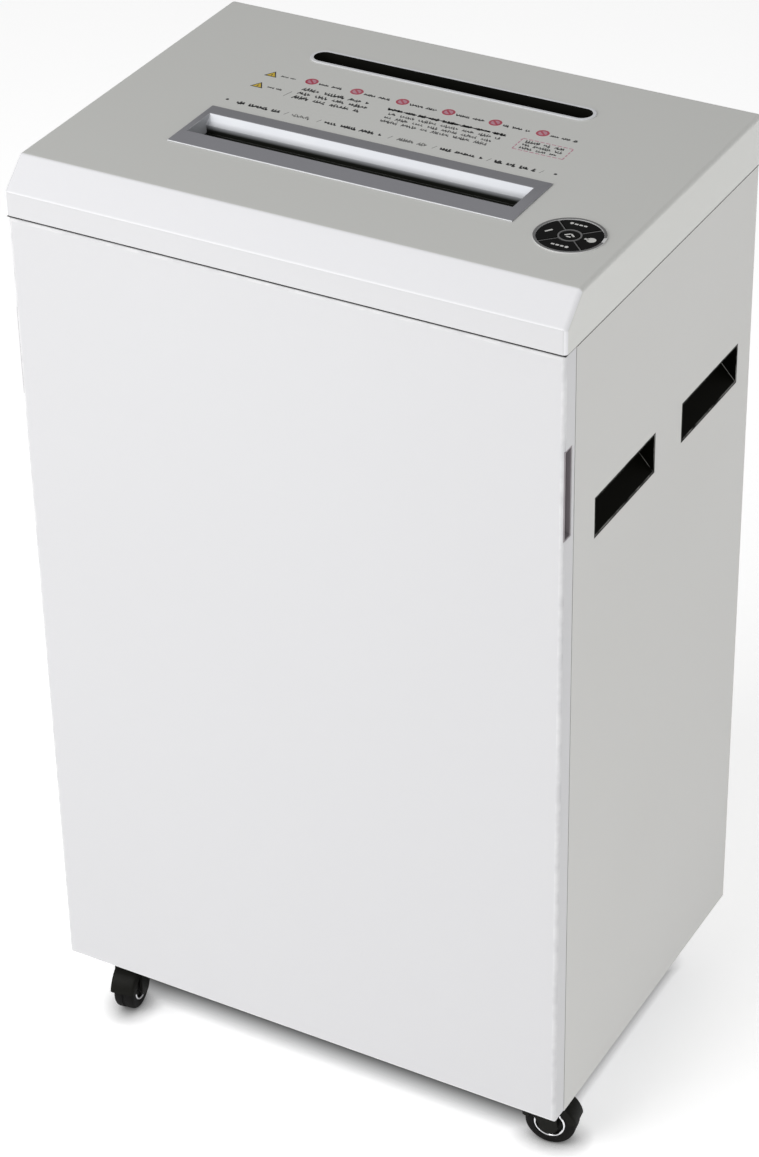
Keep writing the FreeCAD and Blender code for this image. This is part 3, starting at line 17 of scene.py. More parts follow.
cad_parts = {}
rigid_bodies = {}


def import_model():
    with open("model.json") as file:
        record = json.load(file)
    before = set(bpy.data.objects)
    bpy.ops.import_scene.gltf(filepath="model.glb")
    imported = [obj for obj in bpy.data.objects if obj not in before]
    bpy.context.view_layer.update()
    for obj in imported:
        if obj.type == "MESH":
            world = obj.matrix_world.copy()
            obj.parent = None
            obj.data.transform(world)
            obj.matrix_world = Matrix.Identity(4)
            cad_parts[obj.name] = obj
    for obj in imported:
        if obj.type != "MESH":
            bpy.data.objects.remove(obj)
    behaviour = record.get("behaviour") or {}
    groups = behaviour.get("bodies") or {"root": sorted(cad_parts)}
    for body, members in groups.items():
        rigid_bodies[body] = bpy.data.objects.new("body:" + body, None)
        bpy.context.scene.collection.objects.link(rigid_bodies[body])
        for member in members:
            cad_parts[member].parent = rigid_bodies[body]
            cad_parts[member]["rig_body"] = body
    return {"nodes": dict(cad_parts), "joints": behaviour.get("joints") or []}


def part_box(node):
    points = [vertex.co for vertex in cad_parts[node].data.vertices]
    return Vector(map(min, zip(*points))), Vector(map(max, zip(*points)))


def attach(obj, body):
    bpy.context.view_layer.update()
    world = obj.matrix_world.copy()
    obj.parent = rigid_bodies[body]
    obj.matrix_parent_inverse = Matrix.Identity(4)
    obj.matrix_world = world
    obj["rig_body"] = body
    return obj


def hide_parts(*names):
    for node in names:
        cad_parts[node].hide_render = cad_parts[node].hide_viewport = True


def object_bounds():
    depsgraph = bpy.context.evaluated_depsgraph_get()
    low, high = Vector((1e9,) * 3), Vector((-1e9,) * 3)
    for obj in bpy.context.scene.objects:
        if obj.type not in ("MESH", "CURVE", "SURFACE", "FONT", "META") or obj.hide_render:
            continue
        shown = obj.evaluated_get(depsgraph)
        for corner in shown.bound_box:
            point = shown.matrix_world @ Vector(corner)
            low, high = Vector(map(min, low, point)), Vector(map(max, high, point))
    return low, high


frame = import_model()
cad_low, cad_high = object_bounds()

MM = 0.001
SEED = 7
EDGE_MARK = "rounded_edge"
CREASE = math.radians(32)
FACING, SQUARE = 0.3, 0.9
UP = Vector((0.0, 0.0, 1.0))
log = logging.getLogger("shredder")

Colour = tuple[float, float, float]
Point = tuple[float, float]


class Axis(Enum):
    """An axis of the frame."""

    X = 0
    Y = 1
    Z = 2

    @property
    def vector(self) -> Vector:
        """Unit vector along the axis."""
        return Vector([1.0 if index == self.value else 0.0 for index in range(3)])


# ------------------------------------------------------------------ shader groups


class Board:
    """Adds and links nodes in one shader tree."""

    def __init__(self, tree: bpy.types.NodeTree) -> None:
        """Keep the tree that the nodes go into."""
        self.tree = tree

    def add(self, kind: str, **values: object) -> bpy.types.Node:
        """Add a node and set its sockets.

        Args:
            kind: The node type without its ShaderNode prefix.
            values: Socket names, with underscores for spaces, and their values or links.

        Returns:
            The new node.
        """
        node = self.tree.nodes.new(kind if kind.startswith("Node") else f"ShaderNode{kind}")
        for name, value in values.items():
            self.feed(node, name.replace("_", " "), value)
        return node

    def feed(self, node: bpy.types.Node, name: str, value: object) -> None:
        """Link an output to a socket, or give the socket a plain value.

        Args:
            node: The node that holds the socket.
            name: The socket's name, or i and its number.
            value: An output to link, or the value.
        """
        socket = node.inputs[int(name[1:])] if name[1:].isdigit() else node.inputs[name]
        if isinstance(value, bpy.types.NodeSocket):
            self.tree.links.new(value, socket)
        elif isinstance(value, tuple) and len(value) == 3 and socket.type == "RGBA":
            socket.default_value = (*value, 1.0)
        else:
            socket.default_value = value

    def maths(self, operation: str, first: object, second: object = 0.0) -> bpy.types.NodeSocket:
        """Result of a Math node with two inputs.

        Args:
            operation: The Math node's operation.
            first: First input, a value or a link.
            second: Second input.

        Returns:
            The result.
        """
        node = self.add("Math", i0=first, i1=second)
        node.operation = operation
        return node.outputs[0]

    def blend(self, factor: object, first: object, second: object) -> bpy.types.NodeSocket:
        """Colour between two colours.

        Args:
            factor: Share of the second colour, a value or a link.
            first: Colour at 0.
            second: Colour at 1.

        Returns:
            The blended colour.
        """
        node = self.tree.nodes.new("ShaderNodeMix")
        node.data_type = "RGBA"
        self.feed(node, "Factor", factor)
        for socket, value in ((node.inputs[6], first), (node.inputs[7], second)):
            if isinstance(value, bpy.types.NodeSocket):
                self.tree.links.new(value, socket)
            else:
                socket.default_value = (*value, 1.0)
        return node.outputs[2]

    def steps(self, value: object, low: float, high: float) -> bpy.types.NodeSocket:
        """Value spread from 0 to 1 between two limits."""
        node = self.add("MapRange", Value=value, From_Min=low, From_Max=high)
        return node.outputs[0]


class Groups:
    """Shader node groups that several finishes share, each built once."""

    def __init__(self) -> None:
        """Build the four groups."""
        self.grain = self._grain()
        self.drift = self._drift()
        self.wear_and_highlight = self._wear_and_highlight()
        self.dust = self._dust()

    @staticmethod
    def _start(name: str, inputs: dict[str, str], outputs: dict[str, str]
               ) -> tuple[bpy.types.NodeTree, Board, bpy.types.Node, bpy.types.Node]:
        """Make an empty group.

        Args:
            name: The group's name.
            inputs: Socket names and their types.
            outputs: Socket names and their types.

        Returns:
            The group, its board, its input node and its output node.
        """
        tree = bpy.data.node_groups.new(name, "ShaderNodeTree")
        for sockets, side in ((inputs, "INPUT"), (outputs, "OUTPUT")):
            for label, kind in sockets.items():
                tree.interface.new_socket(label, in_out=side, socket_type=f"NodeSocket{kind}")
        board = Board(tree)
        return tree, board, board.add("NodeGroupInput"), board.add("NodeGroupOutput")

    def _grain(self) -> bpy.types.NodeTree:
        """Fine texture of a mould or a powder coat: soft swells under small pits.

        Returns:
            The group.
        """
        tree, board, given, result = self._start(
            "surface grain", {"Vector": "Vector", "Scale": "Float", "Pits": "Float"}, {"Height": "Float"})
        swell = board.add("TexNoise", Vector=given.outputs["Vector"], Scale=given.outputs["Scale"],
                          Detail=3.0)
        finer = board.maths("MULTIPLY", given.outputs["Scale"], 2.3)
        pits = board.add("TexVoronoi", Vector=given.outputs["Vector"], Scale=finer)
        depth = board.maths("MULTIPLY", pits.outputs["Distance"], given.outputs["Pits"])
        board.feed(result, "Height", board.maths("ADD", swell.outputs[0], depth))
        return tree

    def _drift(self) -> bpy.types.NodeTree:
        """Slow change of tone over a large surface, with a trace of fine mottle.

        Returns:
            The group.
        """
        tree, board, given, result = self._start(
            "tone drift", {"Vector": "Vector", "Colour": "Color", "Second": "Color", "Scale": "Float"},
            {"Colour": "Color", "Mask": "Float"})
        broad = board.add("TexNoise", Vector=given.outputs["Vector"], Scale=given.outputs["Scale"],
                          Detail=2.0)
        fine = board.add("TexNoise", Vector=given.outputs["Vector"],
                         Scale=board.maths("MULTIPLY", given.outputs["Scale"], 60.0), Detail=2.0)
        joined = board.maths("ADD", board.maths("MULTIPLY", broad.outputs[0], 0.94),
                             board.maths("MULTIPLY", fine.outputs[0], 0.06))
        mask = board.steps(joined, 0.3, 0.7)
        board.feed(result, "Colour", board.blend(mask, given.outputs["Colour"], given.outputs["Second"]))
        board.feed(result, "Mask", mask)
        return tree

    def _wear_and_highlight(self) -> bpy.types.NodeTree:
        """Scuffed edges and painted edge highlight: a broken line of another tone along the faces that carry
        the rounded-edge mark.

        Returns:
            The group.
        """
        tree, board, given, result = self._start(
            "edge wear", {"Vector": "Vector", "Edge": "Float", "Colour": "Color", "Worn": "Color",
                          "Amount": "Float"}, {"Colour": "Color", "Mask": "Float"})
        broken = board.add("TexNoise", Vector=given.outputs["Vector"], Scale=90.0, Detail=4.0)
        rubbed_and_lit = board.maths("MULTIPLY", given.outputs["Edge"], board.steps(broken.outputs[0], 0.38, 0.6))
        mask = board.maths("MULTIPLY", rubbed_and_lit, given.outputs["Amount"])
        board.feed(result, "Colour", board.blend(mask, given.outputs["Colour"], given.outputs["Worn"]))
        board.feed(result, "Mask", mask)
        return tree

    def _dust(self) -> bpy.types.NodeTree:
        """Pale dust that has settled on surfaces that face up.

        Returns:
            The group.
        """
        tree, board, given, result = self._start(
            "settled dust", {"Vector": "Vector", "Normal": "Vector", "Colour": "Color", "Amount": "Float"},
            {"Colour": "Color", "Mask": "Float"})
        facing = board.add("SeparateXYZ", Vector=given.outputs["Normal"])
        upward = board.steps(facing.outputs["Z"], 0.3, 1.0)
        specks = board.add("TexNoise", Vector=given.outputs["Vector"], Scale=420.0, Detail=6.0)
        clouds = board.add("TexNoise", Vector=given.outputs["Vector"], Scale=14.0, Detail=2.0)
        share = board.maths("MULTIPLY", board.steps(specks.outputs[0], 0.45, 0.75),
                            board.steps(clouds.outputs[0], 0.35, 0.7))
        mask = board.maths("MULTIPLY", board.maths("MULTIPLY", share, upward), given.outputs["Amount"])
        pale = (0.62, 0.60, 0.57)
        board.feed(result, "Colour", board.blend(mask, given.outputs["Colour"], pale))
        board.feed(result, "Mask", mask)
        return tree


# ------------------------------------------------------------------ finishes


@dataclass(frozen=True)
class Finish:
    """What every finish has: a name, two near tones and a roughness."""

    name: str
    colour: Colour
    second: Colour
    roughness: float

    def _begin(self, groups: Groups, drift_scale: float
               ) -> tuple[bpy.types.Material, Board, bpy.types.Node, bpy.types.NodeSocket, bpy.types.Node]:
        """Start a material with its tone drift.

        Args:
            groups: The shared node groups.
            drift_scale: Noise scale of the drift, per metre.

        Returns:
            The material, its board, its shader, the object coordinates and the drift node.
        """
        material = bpy.data.materials.new(self.name)
        material.use_nodes = True
        tree = material.node_tree
        board = Board(tree)
        shader = next(node for node in tree.nodes if node.type == "BSDF_PRINCIPLED")
        spot = board.add("TexCoord").outputs["Object"]
        drift = board.add("Group")
        drift.node_tree = groups.drift
        board.feed(drift, "Vector", spot)
        board.feed(drift, "Colour", self.colour)
        board.feed(drift, "Second", self.second)
        board.feed(drift, "Scale", drift_scale)
        return material, board, shader, spot, drift

    def _roughen(self, board: Board, shader: bpy.types.Node, mask: object, spread: float) -> None:
        """Let the roughness follow a mask, a little either side of its value.

        Args:
            board: The material's board.
            shader: Its Principled shader.
            mask: What the roughness follows.
            spread: How far it strays either way.
        """
        rough = board.add("MapRange", Value=mask, To_Min=max(0.0, self.roughness - spread),
                          To_Max=self.roughness + spread)
        board.feed(shader, "Roughness", rough.outputs[0])

    @staticmethod
    def _edge(board: Board) -> bpy.types.NodeSocket:
        """Mark that the rounded edges of a piece carry, 0 on every other face.

        Args:
            board: The material's board.

        Returns:
            The mark.
        """
        mark = board.add("Attribute")
        mark.attribute_name = EDGE_MARK
        return mark.outputs["Fac"]

    @staticmethod
    def _bump(board: Board, shader: bpy.types.Node, groups: Groups, spot: object, scale: float,
              pits: float, depth: float) -> None:
        """Feed the shader's normal from the grain group.

        Args:
            board: The material's board.
            shader: Its Principled shader.
            groups: The shared node groups.
            spot: Object coordinates.
            scale: Noise scale, per metre.
            pits: Share of the pits.
            depth: Depth of the texture.
        """
        grain = board.add("Group")
        grain.node_tree = groups.grain
        board.feed(grain, "Vector", spot)
        board.feed(grain, "Scale", scale)
        board.feed(grain, "Pits", pits)
        bump = board.add("Bump", Strength=0.6, Distance=depth, Height=grain.outputs["Height"])
        board.feed(shader, "Normal", bump.outputs[0])

    @staticmethod
    def _group(board: Board, tree: bpy.types.NodeTree, **values: object) -> bpy.types.Node:
        """Place a shared group and set its inputs.

        Args:
            board: The material's board.
            tree: The shared group.
            values: Names of its inputs, with their values or links.

        Returns:
            The group node.
        """
        node = board.add("Group")
        node.node_tree = tree
        for name, value in values.items():
            board.feed(node, name, value)
        return node


@dataclass(frozen=True)
class Moulded(Finish):
    """Injection-moulded plastic with a spark-eroded texture, rounded edges lightened partly by scuffing and
    partly as a painted highlight, and a little dust.
    """

    grain: float = 1500.0
    depth: float = 0.00006
    pits: float = 0.5
    worn: Colour = (0.8, 0.8, 0.8)
    wear_and_highlight: float = 0.2
    dust: float = 0.1
    coat: float = 0.0
    drift_scale: float = 3.0
    specular: float = 0.5

    def make(self, groups: Groups) -> bpy.types.Material:
        """Build the material.

        Args:
            groups: The shared node groups.

        Returns:
            The material.
        """
        material, board, shader, spot, drift = self._begin(groups, self.drift_scale)
        shape = board.add("NewGeometry")
        # Lighter line along rounded edges: partly scuffing, partly a painted highlight.
        worn = self._group(board, groups.wear_and_highlight, Vector=spot, Edge=self._edge(board),
                           Colour=drift.outputs["Colour"], Worn=self.worn, Amount=self.wear_and_highlight)
        dusty = self._group(board, groups.dust, Vector=spot, Normal=shape.outputs["Normal"],
                            Colour=worn.outputs["Colour"], Amount=self.dust)
        board.feed(shader, "Base Color", dusty.outputs["Colour"])
        self._roughen(board, shader, drift.outputs["Mask"], 0.05)
        shader.inputs["Specular IOR Level"].default_value = self.specular
        shader.inputs["Coat Weight"].default_value = self.coat
        shader.inputs["Coat Roughness"].default_value = 0.12
        self._bump(board, shader, groups, spot, self.grain, self.pits, self.depth)
        return material


@dataclass(frozen=True)
class PowderCoat(Finish):
    """Powder coat on sheet steel: a slight orange peel, with bare metal at scuffed edges."""

    peel: float = 900.0
    depth: float = 0.00002
    wear_and_highlight: float = 0.25

    def make(self, groups: Groups) -> bpy.types.Material:
        """Build the material.

        Args:
            groups: The shared node groups.

        Returns:
            The material.
        """
        material, board, shader, spot, drift = self._begin(groups, 2.5)
        shape = board.add("NewGeometry")
        worn = self._group(board, groups.wear_and_highlight, Vector=spot, Edge=self._edge(board),
                           Colour=drift.outputs["Colour"], Worn=(0.42, 0.42, 0.43), Amount=self.wear_and_highlight)
        dusty = self._group(board, groups.dust, Vector=spot, Normal=shape.outputs["Normal"],
                            Colour=worn.outputs["Colour"], Amount=0.15)
        board.feed(shader, "Base Color", dusty.outputs["Colour"])
        self._roughen(board, shader, drift.outputs["Mask"], 0.04)
        self._bump(board, shader, groups, spot, self.peel, 0.1, self.depth)
        return material


@dataclass(frozen=True)
class BareMetal(Finish):
    """Rolled, ground or plated metal with streaks along one axis and a film of grease or dust."""

    along: Axis = Axis.X
    streak: float = 900.0
    depth: float = 0.00002
    dust: float = 0.2

    def make(self, groups: Groups) -> bpy.types.Material:
        """Build the material.

        Args:
            groups: The shared node groups.

        Returns:
            The material.
        """
        material, board, shader, spot, drift = self._begin(groups, 12.0)
        stretch = [1.0, 1.0, 1.0]
        stretch[self.along.value] = 0.03
        mapped = board.add("Mapping", Vector=spot, Scale=tuple(stretch))
        lines = board.add("TexNoise", Vector=mapped.outputs[0], Scale=self.streak, Detail=3.0)
        mottled = board.blend(lines.outputs[0], drift.outputs["Colour"], self.second)
        shape = board.add("NewGeometry")
        dusty = self._group(board, groups.dust, Vector=spot, Normal=shape.outputs["Normal"],
                            Colour=mottled, Amount=self.dust)
        board.feed(shader, "Base Color", dusty.outputs["Colour"])
        shader.inputs["Metallic"].default_value = 1.0
        self._roughen(board, shader, lines.outputs[0], 0.10)
        bump = board.add("Bump", Strength=0.4, Distance=self.depth, Height=lines.outputs[0])
        board.feed(shader, "Normal", bump.outputs[0])
        return material


@dataclass(frozen=True)
class Polished(Finish):
    """High-gloss plastic or chrome with hairline scratches and fingerprint haze."""

    metallic: float = 0.0
    coat: float = 0.5
    specular: float = 0.5

    def make(self, groups: Groups) -> bpy.types.Material:
        """Build the material.

        Args:
            groups: The shared node groups.

        Returns:
            The material.
        """
        material, board, shader, spot, drift = self._begin(groups, 30.0)
        haze = board.add("TexNoise", Vector=spot, Scale=160.0, Detail=5.0)
        mapped = board.add("Mapping", Vector=spot, Rotation=(0.0, 0.0, 0.7), Scale=(1.0, 0.04, 1.0))
        hairs = board.add("TexNoise", Vector=mapped.outputs[0], Scale=2600.0, Detail=2.0)
        marks = board.maths("MULTIPLY", board.steps(haze.outputs[0], 0.45, 0.7), hairs.outputs[0])
        board.feed(shader, "Base Color", drift.outputs["Colour"])
        shader.inputs["Metallic"].default_value = self.metallic
        shader.inputs["Specular IOR Level"].default_value = self.specular
        shader.inputs["Coat Weight"].default_value = self.coat
        shader.inputs["Coat Roughness"].default_value = 0.05
        self._roughen(board, shader, marks, 0.06)
        bump = board.add("Bump", Strength=0.25, Distance=0.00001, Height=hairs.outputs[0])
        board.feed(shader, "Normal", bump.outputs[0])
        return material


@dataclass(frozen=True)
class PaintedShadeFalloff(Finish):
    """Pale silver as a painted highlight that sinks into painted shade between two heights, as a funnel falls
    into shade under its lip.
    """

    lit: float = 0.7491
    shaded: float = 0.7427
    shade: Colour = (0.014, 0.015, 0.012)

    def make(self, groups: Groups) -> bpy.types.Material:
        """Build the material.

        Args:
            groups: The shared node groups.

        Returns:
            The material.
        """
        material, board, shader, spot, drift = self._begin(groups, 30.0)
        height = board.add("SeparateXYZ", Vector=spot)
        depth = board.steps(height.outputs["Z"], self.lit, self.shaded)
        board.feed(shader, "Base Color", board.blend(depth, drift.outputs["Colour"], self.shade))
        self._roughen(board, shader, drift.outputs["Mask"], 0.04)
        self._bump(board, shader, groups, spot, 1800.0, 0.3, 0.000008)
        return material


@dataclass(frozen=True)
class Ink(Finish):
    """Screen print: flat colour with a faint mesh of pinholes."""

    def make(self, groups: Groups) -> bpy.types.Material:
        """Build the material.

        Args:
            groups: The shared node groups.

        Returns:
            The material.
        """
        material, board, shader, spot, drift = self._begin(groups, 60.0)
        pinholes = board.add("TexVoronoi", Vector=spot, Scale=3500.0)
        thin = board.steps(pinholes.outputs["Distance"], 0.1, 0.02)
        board.feed(shader, "Base Color", board.blend(thin, drift.outputs["Colour"], self.second))
        self._roughen(board, shader, pinholes.outputs["Distance"], 0.05)
        return material


# On the moulded finishes the lighter edge tone is partly scuffing and partly a painted highlight along
# rounded edges.
class Look(Enum):
    """Every finish on the machine."""

    # Its pale line along rounded corners is a painted highlight.
    FRONT = Moulded("front white", (0.62, 0.62, 0.632), (0.61, 0.608, 0.62), 0.38, depth=0.00003,
                    worn=(0.85, 0.85, 0.85), wear_and_highlight=0.3, dust=0.02, drift_scale=2.2)
    HEAD = Moulded("head grey", (0.675, 0.678, 0.655), (0.665, 0.668, 0.643), 0.42, depth=0.00003,
                   worn=(0.80, 0.80, 0.79), wear_and_highlight=0.35, dust=0.05)
    # A lighter copy of the front white, painted light on the head's cut-back edge.
    BROW = Moulded("head cut-back painted light", (0.79, 0.79, 0.81), (0.78, 0.78, 0.80), 0.42, depth=0.00003,
                   worn=(0.84, 0.84, 0.84), wear_and_highlight=0.3, dust=0.02)
    SIDE = PowderCoat("side powder coat", (0.60, 0.597, 0.58), (0.592, 0.589, 0.57), 0.42, depth=0.000006)
    BEZEL = Moulded("bezel silver", (0.25, 0.25, 0.27), (0.235, 0.235, 0.255), 0.40, grain=2200.0,
                    depth=0.00001, worn=(0.5, 0.5, 0.52), wear_and_highlight=0.3, dust=0.02)
    # Painted highlight on the feed frame's front rim and on the media slot's rim.
    BRIGHT = Polished("rim painted highlight", (0.78, 0.79, 0.81), (0.74, 0.75, 0.78), 0.30, coat=0.3)
    # Lighter copy of the feed frame's grey, painted light on the opening's left end wall.
    END = Moulded("end wall painted light", (0.40, 0.41, 0.43), (0.37, 0.38, 0.40), 0.35, depth=0.00001)
    # Pale silver as a painted highlight at the top of the feed opening, darkening below into painted shade.
    THROAT = PaintedShadeFalloff("throat painted highlight and shade", (0.86, 0.88, 0.92), (0.82, 0.84, 0.89), 0.32)
    TRIM = Moulded("trim grey", (0.72, 0.72, 0.72), (0.68, 0.68, 0.68), 0.35)
    # Near black strip in the head's seam: painted shade of the gap.
    SEAL = Moulded("seam painted shade", (0.03, 0.03, 0.03), (0.04, 0.04, 0.04), 0.7, dust=0.0, specular=0.1)
    DARK = Moulded("dark moulding", (0.006, 0.006, 0.005), (0.010, 0.010, 0.008), 0.42,
                   worn=(0.04, 0.04, 0.04), wear_and_highlight=0.4, dust=0.02, specular=0.08)
    # The strong pale line along the grip's rims is a painted highlight.
    GRIP = Moulded("grip cup", (0.002, 0.002, 0.001), (0.003, 0.003, 0.002), 0.5,
                   worn=(0.34, 0.34, 0.32), wear_and_highlight=0.9, dust=0.0, specular=0.04)
    PULL = Moulded("pull cup", (0.30, 0.27, 0.285), (0.27, 0.245, 0.26), 0.40,
                   worn=(0.40, 0.38, 0.39), wear_and_highlight=0.4)
    KEY = Polished("key black", (0.003, 0.003, 0.003), (0.004, 0.004, 0.004), 0.25, coat=0.0, specular=0.04)
    WEB = Moulded("pad web", (0.17, 0.17, 0.17), (0.14, 0.14, 0.14), 0.35, worn=(0.4, 0.4, 0.4), wear_and_highlight=0.5)
    BIN = Moulded("bin grey", (0.075, 0.076, 0.08), (0.062, 0.063, 0.067), 0.48,
                  worn=(0.2, 0.2, 0.2), wear_and_highlight=0.5, dust=0.4)
    BOARD = Moulded("circuit board", (0.015, 0.10, 0.04), (0.02, 0.13, 0.05), 0.35, grain=900.0)
    COMB = Moulded("comb moulding", (0.035, 0.035, 0.036), (0.028, 0.028, 0.03), 0.5, dust=0.5)
    ZINC = BareMetal("zinc sheet", (0.52, 0.53, 0.54), (0.44, 0.45, 0.47), 0.38)
    RUNNER = BareMetal("runner steel", (0.60, 0.61, 0.62), (0.52, 0.53, 0.54), 0.30, along=Axis.Y)
    PLATE = BareMetal("block plate steel", (0.44, 0.45, 0.46), (0.36, 0.37, 0.38), 0.36, along=Axis.Z)
    CUTTER = BareMetal("ground cutter steel", (0.40, 0.41, 0.42), (0.30, 0.31, 0.32), 0.26, along=Axis.Z)
    GEAR = BareMetal("greased gear steel", (0.34, 0.33, 0.32), (0.24, 0.23, 0.22), 0.32, along=Axis.X)
    BRONZE = BareMetal("sintered bronze", (0.55, 0.38, 0.16), (0.46, 0.31, 0.12), 0.42)
    CAN = BareMetal("drawn aluminium", (0.70, 0.70, 0.71), (0.62, 0.62, 0.63), 0.30, along=Axis.Y)
    MOTOR = PowderCoat("motor paint", (0.055, 0.057, 0.06), (0.045, 0.047, 0.05), 0.45, wear_and_highlight=0.6)
    SCREW = BareMetal("plated screw", (0.62, 0.62, 0.60), (0.52, 0.52, 0.50), 0.22, streak=2400.0)
    CHROME = Polished("hub chrome", (0.80, 0.80, 0.81), (0.74, 0.74, 0.76), 0.10, metallic=1.0, coat=0.0)
    TYRE = Moulded("tyre rubber", (0.006, 0.006, 0.006), (0.010, 0.0095, 0.009), 0.6, grain=1100.0,
                   depth=0.00006, worn=(0.07, 0.065, 0.06), wear_and_highlight=0.4, dust=0.05, specular=0.06)
    BLACK_INK = Ink("black ink", (0.018, 0.018, 0.018), (0.05, 0.05, 0.05), 0.5)
    GREY_INK = Ink("grey ink", (0.16, 0.16, 0.155), (0.24, 0.24, 0.23), 0.5)
    RED_INK = Ink("red ink", (0.42, 0.035, 0.07), (0.50, 0.10, 0.14), 0.5)
    PINK_INK = Ink("pink ink", (0.52, 0.22, 0.30), (0.56, 0.30, 0.36), 0.5)
    YELLOW_INK = Ink("yellow ink", (0.72, 0.50, 0.02), (0.66, 0.46, 0.05), 0.45)
    WHITE_INK = Ink("white ink", (0.72, 0.72, 0.70), (0.60, 0.60, 0.58), 0.4)
    STUDIO = PowderCoat("studio floor", (0.93, 0.93, 0.93), (0.92, 0.92, 0.92), 0.6, depth=0.0, wear_and_highlight=0.0)


class Paintbox:
    """Makes each finish's material once and hands it out."""

    def __init__(self) -> None:
        """Build the shared groups and start with no materials."""
        self.groups = Groups()
        self.made: dict[Look, bpy.types.Material] = {}

    def get(self, look: Look) -> bpy.types.Material:
        """Material of a finish, built on first use.

        Args:
            look: The finish.

        Returns:
            The material.
        """
        if look not in self.made:
            self.made[look] = look.value.make(self.groups)
        return self.made[look]

    def dress(self, piece: bpy.types.Object, *looks: Look) -> None:
        """Give a piece its materials, in the order of its faces' material numbers.

        Args:
            piece: The object.
            looks: Its finishes, by material number.
        """
        slots = piece.data.materials
        for number, look in enumerate(looks):
            if number < len(slots):
                slots[number] = self.get(look)
            else:
                slots.append(self.get(look))


# ------------------------------------------------------------------ mesh work


